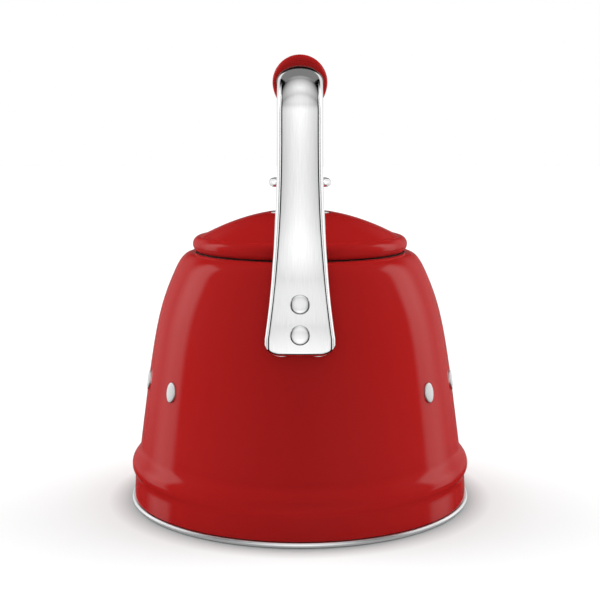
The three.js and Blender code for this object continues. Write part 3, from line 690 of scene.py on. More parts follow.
class KETTLE_OT_base(bpy.types.Operator):
    """Rolled steel ring and pan, the spreader and the faced plate that sits on the hob"""

    bl_idname = "kettle.base"
    bl_label = "Base"

    def execute(self, context):
        self.add_pan()
        self.add_spreader()
        self.add_plate()
        return {"FINISHED"}

    def add_pan(self):
        low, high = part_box("base_pan")
        floor = high.z - 1.2 * MM
        rim_top = HEM.y - 0.4 * MM
        rim_low = spot(BASE_RADIUS - 1.4 * MM, low.z)
        rim_high = spot(HEM.x + 0.4 * MM, rim_top)
        spigot = HEM.x - SHELL_WALL - 0.4 * MM
        bulge_low, bulge_high = spot(BASE_RADIUS + 0.2 * MM, low.z), spot(BASE_RADIUS + 0.1 * MM, rim_top)
        roll = curve(rim_low, bulge_low, bulge_high, rim_high, 14)
        recess = [spot(0, floor), spot(RIM_INNER, floor), spot(RIM_INNER, low.z), rim_low]
        inner_corner = softened(recess, 0.8 * MM)
        top = softened([rim_high, spot(spigot, rim_top), spot(spigot, high.z), spot(0, high.z)], 0.6 * MM)
        pan = turned("base_ring", [*inner_corner, *roll, *top[1:]], ROUND_STEPS)
        settle(pan, "root", finish("base_steel"), "base_steel", "base_pan")

    def add_spreader(self):
        low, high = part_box("heat_spreader")
        corners = [spot(0, low.z), spot(high.x, low.z), spot(high.x, high.z), spot(0, high.z)]
        disc = turned("spreader_disc", softened(corners, 0.4 * MM), ROUND_STEPS)
        settle(disc, "root", finish("spreader_aluminium"), "spreader_aluminium", "heat_spreader")

    def add_plate(self):
        low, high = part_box("base_plate")
        edge = high.x
        groove_depth = 0.25 * MM
        corners = [spot(0, low.z + groove_depth)]
        for share in (0.18, 0.36, 0.54, 0.72, 0.9):
            ring = share * edge
            corners += [
                spot(ring - 1.2 * MM, low.z), spot(ring - 0.5 * MM, low.z + groove_depth),
                spot(ring + 0.5 * MM, low.z + groove_depth), spot(ring + 1.2 * MM, low.z),
            ]
        corners += [spot(edge - 1.1 * MM, low.z), spot(edge, 0.7 * high.z)]
        corners += [spot(edge, high.z), spot(0, high.z)]
        plate = turned("hob_plate", softened(corners, 0.3 * MM, 3), ROUND_STEPS)
        settle(plate, "root", finish("base_steel"), "base_steel", "base_plate")


# ---- Spout ----

SPOUT_LENGTH = 40 * MM
SPOUT_TIP = 14 * MM
SPOUT_ROOT = 22 * MM
SPOUT_WALL = 1.2 * MM
SPOUT_MOUTH = SPOUT_TIP - SPOUT_WALL
COLLAR_LOW = SPOUT_LENGTH + GAP
COLLAR_TOP = COLLAR_LOW + 3.2 * MM
COLLAR_LIP = 1.5 * MM


def spout_radius(along):
    """Outside radius of the spout, flaring towards the shell."""
    rest = max(1 - along / SPOUT_LENGTH, 0)
    return SPOUT_TIP + (SPOUT_ROOT - SPOUT_TIP) * rest ** 1.35


def spout_point(angle, along, radius):
    return SPOUT @ Vector((radius * math.cos(angle), radius * math.sin(angle), along))


def spout_root(angle, inset, fillet):
    """How far along the axis the tube's wall meets the shell at this angle round it."""
    inner, outer = -28 * MM, SPOUT_LENGTH
    for _ in range(24):
        half = (inner + outer) / 2
        point = spout_point(angle, half, spout_radius(half) - inset + fillet)
        if point.xy.length < body_radius(point.z):
            inner = half
        else:
            outer = half
    return inner


def spout_wall(inset, fillet, rings=22):
    """Rings up the tube from the shell to its tip; the fillet dies out over the first few millimetres."""
    fillet_length = 5 * MM
    angles = [TURN * i / SMALL_STEPS for i in range(SMALL_STEPS)]
    roots = [spout_root(a, inset, fillet) for a in angles]
    made = []
    for i in range(rings + 1):
        share = (i / rings) ** 1.6
        ring = []
        for angle, root in zip(angles, roots):
            along = root + (SPOUT_LENGTH - root) * share
            left = max(1 - (along - root) / fillet_length, 0)
            radius = spout_radius(along) - inset + fillet * left ** 2
            ring.append(spout_point(angle, along, radius))
        made.append(ring)
    return made


class KETTLE_OT_spout(bpy.types.Operator):
    """Short flared spout and the polished collar round its tip"""

    bl_idname = "kettle.spout"
    bl_label = "Spout"

    def execute(self, context):
        outside = spout_wall(0, 1.6 * MM)
        inside = spout_wall(SPOUT_WALL, 0)
        tube = skin("spout_enamel", [*outside, *reversed(inside)], joined=True)
        axis_start = SPOUT.translation
        paint_inside(tube, finish("red_enamel"), finish("inner_steel"),
                     lambda centre, normal: (centre - axis_start).cross(PULL).cross(PULL).dot(normal) > 0)
        settle(tube, "root", None, "red_enamel", "spout_tube")
        self.add_collar()
        return {"FINISHED"}

    def add_collar(self):
        outer = SPOUT_TIP + COLLAR_LIP
        side = spot(outer - 0.5 * MM, COLLAR_LOW)
        lip = spot(SPOUT_MOUTH + 0.6 * MM, COLLAR_TOP)
        roll = curve(side, spot(outer + 0.6 * MM, COLLAR_LOW), spot(outer, COLLAR_TOP), lip, 16)
        bore = [spot(SPOUT_MOUTH, COLLAR_TOP - 0.4 * MM), spot(SPOUT_MOUTH, COLLAR_LOW)]
        collar = turned("spout_rim", [bore[1], side, *roll, *bore], SMALL_STEPS, SPOUT)
        settle(collar, "root", finish("polished_steel"), "polished_steel", "spout_collar")


# ---- Whistle ----

SLEEVE_OUTER = SPOUT_MOUTH - 1.5 * MM
SLEEVE_INNER = SLEEVE_OUTER - 0.8 * MM
SLEEVE_TOP = COLLAR_TOP + GAP + 0.8 * MM
SLEEVE_LOW = SLEEVE_TOP - 15 * MM
WHISTLE_GRIP_LOW = SLEEVE_TOP + GAP
WHISTLE_GRIP_LENGTH = 9 * MM
WHISTLE_GRIP_OUTER = SPOUT_TIP + COLLAR_LIP + 0.6 * MM
VENT_RADIUS = 6 * MM
DISC_THICKNESS = 0.6 * MM
DISC_HOLE = 2.2 * MM


def rib_tree(inputs):
    """Ribs spread evenly round an axis and set in place by a turn and a shift."""
    tree, given, out = geometry_tree("Finger Ribs", inputs)
    index = node(tree, "GeometryNodeInputIndex").outputs[0]
    angle = maths(tree, "DIVIDE", maths(tree, "MULTIPLY", index, TURN), given["Count"])
    x = maths(tree, "MULTIPLY", maths(tree, "COSINE", angle), given["Ring Radius"])
    y = maths(tree, "MULTIPLY", maths(tree, "SINE", angle), given["Ring Radius"])
    points = node(tree, "GeometryNodePoints", {
        "Count": given["Count"], "Position": vector(tree, x, y, given["Middle Height"])}).outputs[0]
    bead = node(tree, "GeometryNodeMeshUVSphere", {"Segments": 10, "Rings": 8, "Radius": 1.0}).outputs[0]
    size = vector(tree, given["Rib Depth"], given["Rib Width"], given["Rib Length"])
    instances = node(tree, "GeometryNodeInstanceOnPoints", {
        "Points": points, "Instance": bead, "Rotation": vector(tree, z=angle), "Scale": size}).outputs[0]
    moved = node(tree, "GeometryNodeTransform", {
        "Geometry": instances, "Translation": given["Shift"], "Rotation": given["Turn"]}).outputs[0]
    finish_tree(tree, moved, given["Material"], out)
    return tree


class KETTLE_OT_whistle(bpy.types.Operator):
    """Pull-off whistle: sleeve and seal, two holed discs, and a ribbed grip with its vent"""

    bl_idname = "kettle.whistle"
    bl_label = "Whistle"

    def execute(self, context):
        self.add_sleeve()
        self.add_seal()
        self.add_discs()
        self.add_grip()
        self.add_ribs(context.scene.kettle_shape.rib_count)
        return {"FINISHED"}

    def add_sleeve(self):
        flange = SPOUT_TIP + COLLAR_LIP - 1 * MM
        lip = SLEEVE_INNER - 0.8 * MM
        corners = [
            spot(lip, SLEEVE_LOW), spot(SLEEVE_OUTER, SLEEVE_LOW), spot(SLEEVE_OUTER, COLLAR_TOP + GAP),
            spot(flange, COLLAR_TOP + GAP), spot(flange, SLEEVE_TOP), spot(SLEEVE_INNER, SLEEVE_TOP),
            spot(SLEEVE_INNER, SLEEVE_LOW + 0.8 * MM), spot(lip, SLEEVE_LOW + 0.8 * MM),
        ]
        sleeve = turned("whistle_tube", softened_loop(corners, 0.3 * MM), SMALL_STEPS, SPOUT)
        settle(sleeve, "whistle", finish("inner_steel"), "inner_steel", "whistle_sleeve")

    def add_seal(self):
        low = SPOUT_LENGTH - 6 * MM
        length = 5 * MM
        inner = SLEEVE_OUTER + GAP / 2
        outer = SPOUT_MOUTH - GAP
        outline = [spot(inner, low)]
        lips = 3
        for i in range(lips):
            start = spot(outer - 0.7 * MM, low + length * i / lips)
            end = spot(outer - 0.7 * MM, low + length * (i + 1) / lips)
            bulge = outer + 0.2 * MM
            outline += [start, *curve(start, spot(bulge, start.y), spot(bulge, end.y), end, 8)]
        outline += [spot(inner, low + length), spot(inner, low)]
        seal = turned("whistle_gasket", outline, SMALL_STEPS, SPOUT)
        settle(seal, "whistle", finish("black_silicone"), "black_silicone", "whistle_seal")

    def add_discs(self):
        outer = SLEEVE_INNER - GAP
        inner_low = SLEEVE_LOW + 0.8 * MM + GAP
        spacer_low = inner_low + DISC_THICKNESS + GAP
        spacer_high = spacer_low + 4 * MM
        outer_low = spacer_high + GAP
        rows = (
            ("whistle_plate_inner", DISC_HOLE, inner_low, inner_low + DISC_THICKNESS, "whistle_inner_disc"),
            ("whistle_spacer_ring", outer - 0.8 * MM, spacer_low, spacer_high, "whistle_spacer"),
            ("whistle_plate_outer", DISC_HOLE, outer_low, outer_low + DISC_THICKNESS, "whistle_outer_disc"),
        )
        for name, hole, low, high, replaced in rows:
            plate = turned(name, ring_outline(hole, outer, low, high, 0.2 * MM), SMALL_STEPS, SPOUT)
            settle(plate, "whistle", finish("inner_steel"), "inner_steel", replaced)

    def add_grip(self):
        low = WHISTLE_GRIP_LOW
        high = low + WHISTLE_GRIP_LENGTH
        outer = WHISTLE_GRIP_OUTER
        waist = spot(outer - 1.5 * MM, low + 0.3 * WHISTLE_GRIP_LENGTH)
        crown = spot(VENT_RADIUS + 1.5 * MM, high)
        dome = curve(waist, spot(outer + 1.5 * MM, low + 4 * MM), spot(outer + 0.5 * MM, high), crown, 20)
        well = [crown, spot(VENT_RADIUS, high - 0.4 * MM), spot(VENT_RADIUS, low), spot(outer, low)]
        vent = softened(well, 0.5 * MM)
        foot = curve(spot(outer, low), spot(outer, low + 1 * MM), spot(waist.x, waist.y - 1 * MM), waist, 8)
        cap = turned("whistle_cap", [*vent[:-1], spot(outer, low), *foot, *dome], SMALL_STEPS, SPOUT)
        settle(cap, "whistle", finish("black_plastic"), "black_plastic", "whistle_grip")

    def add_ribs(self, count):
        inputs = {
            "Count": count, "Ring Radius": WHISTLE_GRIP_OUTER - 0.35 * MM,
            "Middle Height": WHISTLE_GRIP_LOW + 0.58 * WHISTLE_GRIP_LENGTH,
            "Rib Depth": 0.7 * MM, "Rib Width": 0.45 * MM, "Rib Length": 2.4 * MM,
            "Shift": SPOUT.translation.copy(), "Turn": Vector(SPOUT.to_euler()),
            "Material": finish("black_plastic"),
        }
        ribs = grown(rib_tree(inputs), "whistle_ribs", inputs)
        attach(ribs, "whistle")


# ---- Lid ----

RIM_ROUND = 4.5 * MM
RIM_MIDDLE = LID_EDGE + 4 * MM
CREASE = spot(LID_RADIUS - RIM_ROUND - 1 * MM, RIM_MIDDLE + RIM_ROUND)
DOME_RISE = 15.2 * MM
DISH_RADIUS = 19 * MM
SCREW_HOLE = 2.7 * MM


def dome_height(radius):
    return CREASE.y + DOME_RISE * (1 - (radius / CREASE.x) ** 2)


DISH_HEIGHT = dome_height(DISH_RADIUS) - 1.1 * MM


class KETTLE_OT_lid(bpy.types.Operator):
    """Domed lid with its rolled rim and shallow dish, the liner with its skirt, and the seal"""

    bl_idname = "kettle.lid"
    bl_label = "Lid"

    def execute(self, context):
        self.add_shell()
        self.add_liner()
        self.add_seal()
        self.add_spacer()
        return {"FINISHED"}

    def add_shell(self):
        edge = spot(LID_RADIUS - 1.8 * MM, LID_EDGE)
        full = spot(LID_RADIUS, RIM_MIDDLE)
        rim_top = spot(LID_RADIUS - RIM_ROUND, CREASE.y)
        quarter = 0.55 * RIM_ROUND
        dome = [CREASE.x + (DISH_RADIUS - CREASE.x) * i / 30 for i in range(31)]
        dish_edge = spot(DISH_RADIUS, dome_height(DISH_RADIUS))
        dish = spot(DISH_RADIUS - 2.2 * MM, DISH_HEIGHT)
        line = [
            edge,
            *curve(edge, spot(edge.x + 0.9 * MM, edge.y + 1 * MM), spot(full.x, full.y - 2 * MM), full, 10),
            *curve(full, spot(full.x, full.y + quarter), spot(rim_top.x + quarter, rim_top.y), rim_top, 12),
            spot(rim_top.x - 0.4 * MM, rim_top.y - 0.12 * MM),
            *[spot(radius, dome_height(radius)) for radius in dome],
            *curve(dish_edge, spot(dish_edge.x - 0.8 * MM, dish_edge.y + 0.2 * MM),
                   spot(dish.x + 0.8 * MM, dish.y), dish, 8),
            spot(SCREW_HOLE, DISH_HEIGHT),
        ]
        lid = turned("lid_enamel", pressed(line, LID_WALL), ROUND_STEPS)
        settle(lid, "lid", finish("red_enamel"), "red_enamel", "lid_shell")

    def add_liner(self):
        flange = LID_RADIUS - 1.8 * MM - LID_WALL - 0.6 * MM
        skirt = MOUTH_RADIUS - 1 * MM
        skirt_inner = skirt - 0.8 * MM
        skirt_low = lowest("lid_liner").z
        corners = [
            spot(SCREW_HOLE, LID_EDGE), spot(skirt_inner, LID_EDGE), spot(skirt_inner, skirt_low),
            spot(skirt, skirt_low), spot(skirt, LID_EDGE), spot(flange, LID_EDGE),
            spot(flange, highest("lid_liner").z), spot(SCREW_HOLE, highest("lid_liner").z),
        ]
        liner = turned("lid_lining", softened_loop(corners, 0.35 * MM), ROUND_STEPS)
        settle(liner, "lid", finish("inner_steel"), "inner_steel", "lid_liner")

    def add_seal(self):
        low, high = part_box("lid_seal")
        inner = MOUTH_RADIUS - 0.7 * MM
        outline = ring_outline(inner, high.x, low.z, high.z, 0.3 * MM)
        seal = turned("lid_gasket", outline, ROUND_STEPS)
        settle(seal, "lid", finish("black_silicone"), "black_silicone", "lid_seal")

    def add_spacer(self):
        low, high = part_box("lid_spacer")
        outline = ring_outline(SCREW_HOLE, high.x, low.z, high.z, 0.3 * MM)
        spacer = turned("lid_pillar", outline)
        settle(spacer, "lid", finish("inner_steel"), "inner_steel", "lid_spacer")


# ---- Knob ----

KNOB_NECK = 6.6 * MM
KNOB_RIM = 5.1 * MM


class KETTLE_OT_knob(bpy.types.Operator):
    """Turned steel knob on its flange, with the washer and screw that hold it"""

    bl_idname = "kettle.knob"
    bl_label = "Lid Knob"

    def execute(self, context):
        self.add_flange()
        self.add_knob()
        self.add_fastening()
        return {"FINISHED"}

    def add_flange(self):
        low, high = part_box("knob_flange")
        corners = [
            spot(SCREW_HOLE, low.z), spot(high.x, low.z), spot(high.x, (low.z + high.z) / 2),
            spot(high.x - 1 * MM, high.z), spot(SCREW_HOLE, high.z),
        ]
        flange = turned("knob_plate", softened_loop(corners, 0.4 * MM))
        settle(flange, "lid", finish("polished_steel"), "polished_steel", "knob_flange")

    def add_knob(self):
        low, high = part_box("lid_knob")
        half = KNOB_RIM / 2
        arc = 0.55 * half
        rim_low = spot(high.x - half, high.z - KNOB_RIM)
        rim_side = spot(high.x, high.z - half)
        rim_top = spot(high.x - half, high.z)
        neck_top = spot(KNOB_NECK, rim_low.y - 4.5 * MM)
        foot = spot(KNOB_NECK + 2 * MM, low.z)
        neck_low = spot(KNOB_NECK, low.z + 3 * MM)
        bore = low.z + 11.5 * MM
        dish = spot(rim_top.x - 2.4 * MM, high.z - 0.25 * MM)
        outline = [
            spot(0, bore),
            *softened([spot(0, bore), spot(SCREW_HOLE, bore), spot(SCREW_HOLE, low.z), foot], 0.3 * MM)[1:],
            *curve(foot, spot(foot.x + 0.3 * MM, low.z + 1.4 * MM),
                   spot(KNOB_NECK, neck_low.y - 1 * MM), neck_low, 8),
            neck_top,
            *curve(neck_top, spot(neck_top.x, neck_top.y + 3.5 * MM),
                   spot(neck_top.x + 4 * MM, rim_low.y), rim_low, 16),
            *curve(rim_low, spot(rim_low.x + arc, rim_low.y),
                   spot(rim_side.x, rim_side.y - arc), rim_side, 10),
            *curve(rim_side, spot(rim_side.x, rim_side.y + arc),
                   spot(rim_top.x + arc, rim_top.y), rim_top, 10),
            *curve(rim_top, spot(rim_top.x - 0.9 * MM, high.z), spot(dish.x + 0.9 * MM, dish.y), dish, 6),
            spot(0.5 * dish.x, high.z - 0.55 * MM),
            spot(0, high.z - 0.6 * MM),
        ]
        knob = turned("knob_turned", outline)
        settle(knob, "lid", finish("polished_steel"), "polished_steel", "lid_knob")

    def add_fastening(self):
        low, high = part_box("knob_washer")
        washer = turned("knob_shim", ring_outline(SCREW_HOLE, high.x, low.z, high.z, 0.15 * MM))
        settle(washer, "lid", finish("inner_steel"), "inner_steel", "knob_washer")
        low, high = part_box("knob_screw")
        head_top = lowest("knob_washer").z - GAP
        shank = 2.4 * MM
        corners = [
            spot(0, low.z), spot(3.4 * MM, low.z + 0.3 * MM),
            spot(high.x, head_top - 0.9 * MM), spot(high.x, head_top), spot(shank, head_top),
            spot(shank, high.z - 0.8 * MM), spot(shank - 0.8 * MM, high.z), spot(0, high.z),
        ]
        screw = turned("knob_bolt", softened(corners, 0.35 * MM), 64)
        settle(screw, "lid", finish("inner_steel"), "inner_steel", "knob_screw")


# ---- Handle arm ----

ARM_WIDTH = 24 * MM
ARM_THICKNESS = 13 * MM
FOOT_THICKNESS = 4.5 * MM
FOOT_CORNER = 8.5 * MM
FLARE_LENGTH = 112 * MM
BEND_RADIUS = 17 * MM
FLAT_FOOT_TOP = SEAT_HEIGHT - 18.7 * MM
END_BEVEL_NARROWER = 2.4          # how much narrower the bevel is at the foot's end than at its sides
FOOT_CROWN = 0.7 * MM             # how far the face falls from its middle to its edges
ARM_CROWN = 1.6 * MM
EDGE_LEANS = (                    # distance from the arm's edge, and how far its face leans back there
    (0, math.radians(80)), (0.35 * MM, math.radians(60)),
    (1.8 * MM, math.radians(43)), (2.7 * MM, math.radians(18)),
)
FOOT_LOW = lowest("handle_strap").z
FOOT_WIDTH = 2 * highest("handle_strap").x
ARM_LINE = highest("handle_strap").z - ARM_THICKNESS / 2
ARM_Y = -(LID_RADIUS + 6.7 * MM)
BEND_LOW = ARM_LINE - BEND_RADIUS
BEND_END = ARM_Y + BEND_RADIUS
GRIP_AXIS = middle("handle_grip").z
GRIP_START = lowest("handle_grip").y
GRIP_END = highest("handle_grip").y
GRIP_RADIUS = 14.6 * MM


def full_half_width(height):
    """Half width of the arm's outline, as if the foot had square corners."""
    flare = min(max(1 - (height - FOOT_LOW - FOOT_CORNER) / FLARE_LENGTH, 0), 1)
    return (ARM_WIDTH + (FOOT_WIDTH - ARM_WIDTH) * flare ** 2.3) / 2


def arm_half_width(height):
    into_corner = max(FOOT_CORNER - (height - FOOT_LOW), 0)
    return full_half_width(height) - FOOT_CORNER + math.sqrt(max(FOOT_CORNER ** 2 - into_corner ** 2, 0))


def smooth(value, low, high):
    t = min(max((value - low) / (high - low), 0), 1)
    return t * t * (3 - 2 * t)


def foot_stations():
    """Rings up the flat foot, closer together over the bevel at its end."""
    bevel = EDGE_LEANS[-1][0] / END_BEVEL_NARROWER
    top = FLAT_FOOT_TOP - FOOT_LOW
    rises = [bevel * (i / 14) ** 1.5 for i in range(15)]
    rises += [bevel + (FOOT_CORNER - bevel) * i / 10 for i in range(1, 11)]
    rises += [FOOT_CORNER + (top - FOOT_CORNER) * i / 14 for i in range(1, 15)]
    made = []
    for rise in rises:
        height = FOOT_LOW + rise
        half_width = arm_half_width(height)
        behind = body_radius(height) - math.sqrt(body_radius(height) ** 2 - full_half_width(height) ** 2)
        face = body_radius(height) + GAP + FOOT_THICKNESS
        half_thickness = (FOOT_THICKNESS + behind) / 2
        made.append((-(face - half_thickness), height, half_width, half_thickness, FOOT_CROWN, 0))
    return made


def arm_stations():
    """Rings up the arm, round the bend and into the grip.

    Each is (y, z, half width, half thickness, crown, roundness).
    """
    foot = foot_stations()
    y, z, _, half_thickness, _, _ = foot[-1]
    lean = wall_lean(z)
    start, end = spot(y, z), spot(ARM_Y, BEND_LOW)
    handle = spot(y + 30 * MM * math.tan(lean), z + 30 * MM)
    rising = []
    for p in curve(start, handle, spot(ARM_Y, BEND_LOW - 35 * MM), end, 44):
        share = smooth(p.y, z, BEND_LOW)
        thick = half_thickness + (ARM_THICKNESS / 2 - half_thickness) * share
        crown = FOOT_CROWN + (ARM_CROWN - FOOT_CROWN) * smooth(p.y, z, SEAT_HEIGHT + 30 * MM)
        rising.append((p.x, p.y, arm_half_width(p.y), thick, crown, 0))
    bend = []
    for i in range(1, 21):
        angle = math.pi / 2 * i / 20
        centre_y = BEND_END - BEND_RADIUS * math.cos(angle)
        height = BEND_LOW + BEND_RADIUS * math.sin(angle)
        bend.append((centre_y, height, ARM_WIDTH / 2, ARM_THICKNESS / 2, ARM_CROWN, smooth(i, 0, 12)))
    shoulder = GRIP_START + 12 * MM
    tang = [
        (shoulder - 6 * MM, ARM_LINE, ARM_WIDTH / 2, ARM_THICKNESS / 2, ARM_CROWN, 1),
        (shoulder - 1 * MM, GRIP_AXIS, 7 * MM, 3.5 * MM, ARM_CROWN, 1),
        (GRIP_END - 14 * MM, GRIP_AXIS, 7 * MM, 3.5 * MM, ARM_CROWN, 1),
    ]
    return [*foot, *rising, *bend, *tang]


def edge_drop(inwards):
    """How far the bevelled edge lies below the face, at a distance in from the outline."""
    drop, steps = 0.0, 12
    for (near, lean), (far, next_lean) in zip(EDGE_LEANS, EDGE_LEANS[1:]):
        start = max(inwards, near)
        for i in range(steps if start < far else 0):
            here = start + (far - start) * (i + 0.5) / steps
            angle = lean + (next_lean - lean) * (here - near) / (far - near)
            drop += math.tan(angle) * (far - start) / steps
    return drop


def bevel_drop(across, height):
    """Drop of the face near its outline, round the corners of the foot too, where the bevel is narrower."""
    side, below = full_half_width(height) - across, END_BEVEL_NARROWER * (height - FOOT_LOW)
    inwards = min(side, below)
    if side < FOOT_CORNER and below < FOOT_CORNER:
        inwards = FOOT_CORNER - math.hypot(FOOT_CORNER - side, FOOT_CORNER - below)
    depth = 1 if below > side else 1 - 0.6 * smooth(side, 0, FOOT_CORNER)
    return depth * edge_drop(max(inwards, 0))


def arm_section(half_width, half_thickness, crown, roundness, height):
    """Bar in section: points (across, outwards), from a crowned and bevelled face to a full ellipse."""
    count = 64
    back_round = min(0.8 * MM, 0.4 * half_thickness)
    front, back = [], []
    for i in range(count + 1):
        share = -math.cos(math.pi * i / count)
        across = abs(share) * half_width
        oval = half_thickness * math.sqrt(max(1 - share ** 2, 0)) + 0.02 * MM
        edge = bevel_drop(across, height) if roundness < 1 else 0
        face = half_thickness - crown * share ** 2 - edge
        past = max(across - half_width + back_round, 0)
        rear = half_thickness - back_round + math.sqrt(max(back_round ** 2 - past ** 2, 0))
        front.append((share * half_width, face + (oval - face) * roundness))
        back.append((share * half_width, -rear + (rear - oval) * roundness))
    return front + back[::-1]


class KETTLE_OT_arm(bpy.types.Operator):
    """Steel arm: flat flared foot on the shell, rising and thickening into the bend under the grip"""

    bl_idname = "kettle.arm"
    bl_label = "Handle Arm"

    def execute(self, context):
        stations = arm_stations()
        rings = []
        for i, (y, z, half_width, half_thickness, crown, roundness) in enumerate(stations):
            before = stations[max(i - 1, 0)]
            after = stations[min(i + 1, len(stations) - 1)]
            along = Vector((0, after[0] - before[0], after[1] - before[1])).normalized()
            outwards = Vector((0, -along.z, along.y))
            centre = Vector((0, y, z))
            section = arm_section(half_width, half_thickness, crown, roundness, z)
            ring = [centre + Vector((x, 0, 0)) + outwards * out for x, out in section]
            rings.append([self.clear_of_shell(point) for point in ring])
        low_end = [sum(rings[0], Vector()) / len(rings[0])]
        high_end = [sum(rings[-1], Vector()) / len(rings[-1])]
        arm = skin("handle_arm", [low_end, *rings, high_end])
        settle(arm, "root", finish("polished_steel"), "polished_steel", "handle_strap")
        return {"FINISHED"}

    def clear_of_shell(self, point):
        """Keeps the back of the foot just off the shell."""
        limit = body_radius(point.z) + GAP
        if point.z < SEAT_HEIGHT and point.xy.length < limit:
            point.y = -math.sqrt(limit ** 2 - point.x ** 2)
        return point


# ---- Rivets ----

RIVET_SEAT = FOOT_THICKNESS + 2 * GAP
RIVET_HEAD = 5.2 * MM
RIVET_HEIGHT = 1.5 * MM
RIVET_PLACES = (SEAT_HEIGHT - 35.6 * MM, SEAT_HEIGHT - 20.7 * MM)


def rivet_blank():
    """One rivet on its own axis: local Z points out of the wall, zero is the shell's outside."""
    back = -(SHELL_WALL + 1.2 * MM + 2.5 * GAP)
    tail = 4 * MM
    shank = 2.5 * MM
    rim = spot(RIVET_HEAD, RIVET_SEAT + 0.45 * MM)
    top = spot(0, RIVET_SEAT + RIVET_HEIGHT)
    dome = curve(rim, spot(RIVET_HEAD, rim.y + 0.65 * MM), spot(0.8 * RIVET_HEAD, top.y), top, 18)
    corners = [
        spot(0, back - 1.4 * MM), spot(tail - 1 * MM, back - 1.4 * MM), spot(tail, back - 0.7 * MM),
        spot(tail, back), spot(shank, back), spot(shank, RIVET_SEAT - GAP),
        spot(RIVET_HEAD, RIVET_SEAT - GAP), rim,
    ]
    return turned("rivet_blank", [*softened(corners, 0.3 * MM, 3), *dome[1:]], 96)


def rivet_tree(inputs):
    """Copies of one rivet spread along a line, each leaning with the wall."""
    tree, given, out = geometry_tree("Rivet Row", inputs)
    index = node(tree, "GeometryNodeInputIndex").outputs[0]
    share = maths(tree, "DIVIDE", index, maths(tree, "SUBTRACT", given["Count"], 1))
    place = node(tree, "ShaderNodeMix", data_type="VECTOR")
    lean = node(tree, "ShaderNodeMix", data_type="FLOAT")
    for mix, low, high in ((place, "Lower Place", "Upper Place"), (lean, "Lower Lean", "Upper Lean")):
        enabled = [s for s in mix.inputs if s.enabled]
        for socket, value in zip(enabled, (share, given[low], given[high])):
            tree.links.new(value, socket)
    tilt = next(s for s in lean.outputs if s.enabled)
    where = next(s for s in place.outputs if s.enabled)
    points = node(tree, "GeometryNodePoints", {"Count": given["Count"], "Position": where}).outputs[0]
    blank = node(tree, "GeometryNodeObjectInfo", {"Object": given["Rivet"]}).outputs["Geometry"]
    turn = vector(tree, x=maths(tree, "SUBTRACT", math.pi / 2, tilt))
    instances = node(tree, "GeometryNodeInstanceOnPoints", {
        "Points": points, "Instance": blank, "Rotation": turn}).outputs[0]
    finish_tree(tree, instances, given["Material"], out)
    return tree


class KETTLE_OT_rivets(bpy.types.Operator):
    """Two domed rivets through the foot of the arm"""

    bl_idname = "kettle.rivets"
    bl_label = "Rivets"

    def execute(self, context):
        low, high = (Vector((0, -body_radius(height), height)) for height in RIVET_PLACES)
        blank = rivet_blank()
        inputs = {
            "Rivet": blank, "Count": 2, "Lower Place": low, "Upper Place": high,
            "Lower Lean": wall_lean(low.z), "Upper Lean": wall_lean(high.z),
            "Material": finish("polished_steel"),
        }
        rivets = grown(rivet_tree(inputs), "rivet_pair", inputs)
        bpy.data.objects.remove(blank)
        rivets.data.set_sharp_from_angle(angle=SHARP)
        settle(rivets, "root", None, "polished_steel", "rivet_lower", "rivet_upper")
        return {"FINISHED"}


# ---- Grip ----

BORE_HALF_WIDTH = ARM_WIDTH / 2 + GAP
BORE_HALF_HEIGHT = ARM_THICKNESS / 2 + 2 * MM
CAP_THICKNESS = 4.8 * MM
GRIP_PLACE = Matrix.Translation((0, GRIP_START, GRIP_AXIS)) @ Matrix.Rotation(-math.pi / 2, 4, "X")


def bore_radius(angle):
    return 1 / math.hypot(math.cos(angle) / BORE_HALF_WIDTH, math.sin(angle) / BORE_HALF_HEIGHT)


def grip_ring(along, outset):
    """Ring round the grip; outset gives its radius at each angle."""
    ring = []
    for i in range(SMALL_STEPS):
        angle = TURN * i / SMALL_STEPS
        radius = outset(angle)
        ring.append(GRIP_PLACE @ Vector((radius * math.cos(angle), radius * math.sin(angle), along(angle))))
    return ring


def end_round(angle):
    return min(3 * MM, 0.85 * (GRIP_RADIUS - bore_radius(angle)))


def grip_end(start, direction):
    """Rings over a rounded end of the grip, from the bore to the outside."""
    made = [grip_ring(lambda a: start + direction * 0.5 * MM, bore_radius)]
    made.append(grip_ring(lambda a: start, lambda a: bore_radius(a) + 0.25 * MM))
    for i in range(9):
        turn = math.pi / 2 * i / 8
        made.append(grip_ring(
            lambda a, t=turn: start + direction * end_round(a) * (1 - math.cos(t)),
            lambda a, t=turn: GRIP_RADIUS - end_round(a) * (1 - math.sin(t))))
    return made


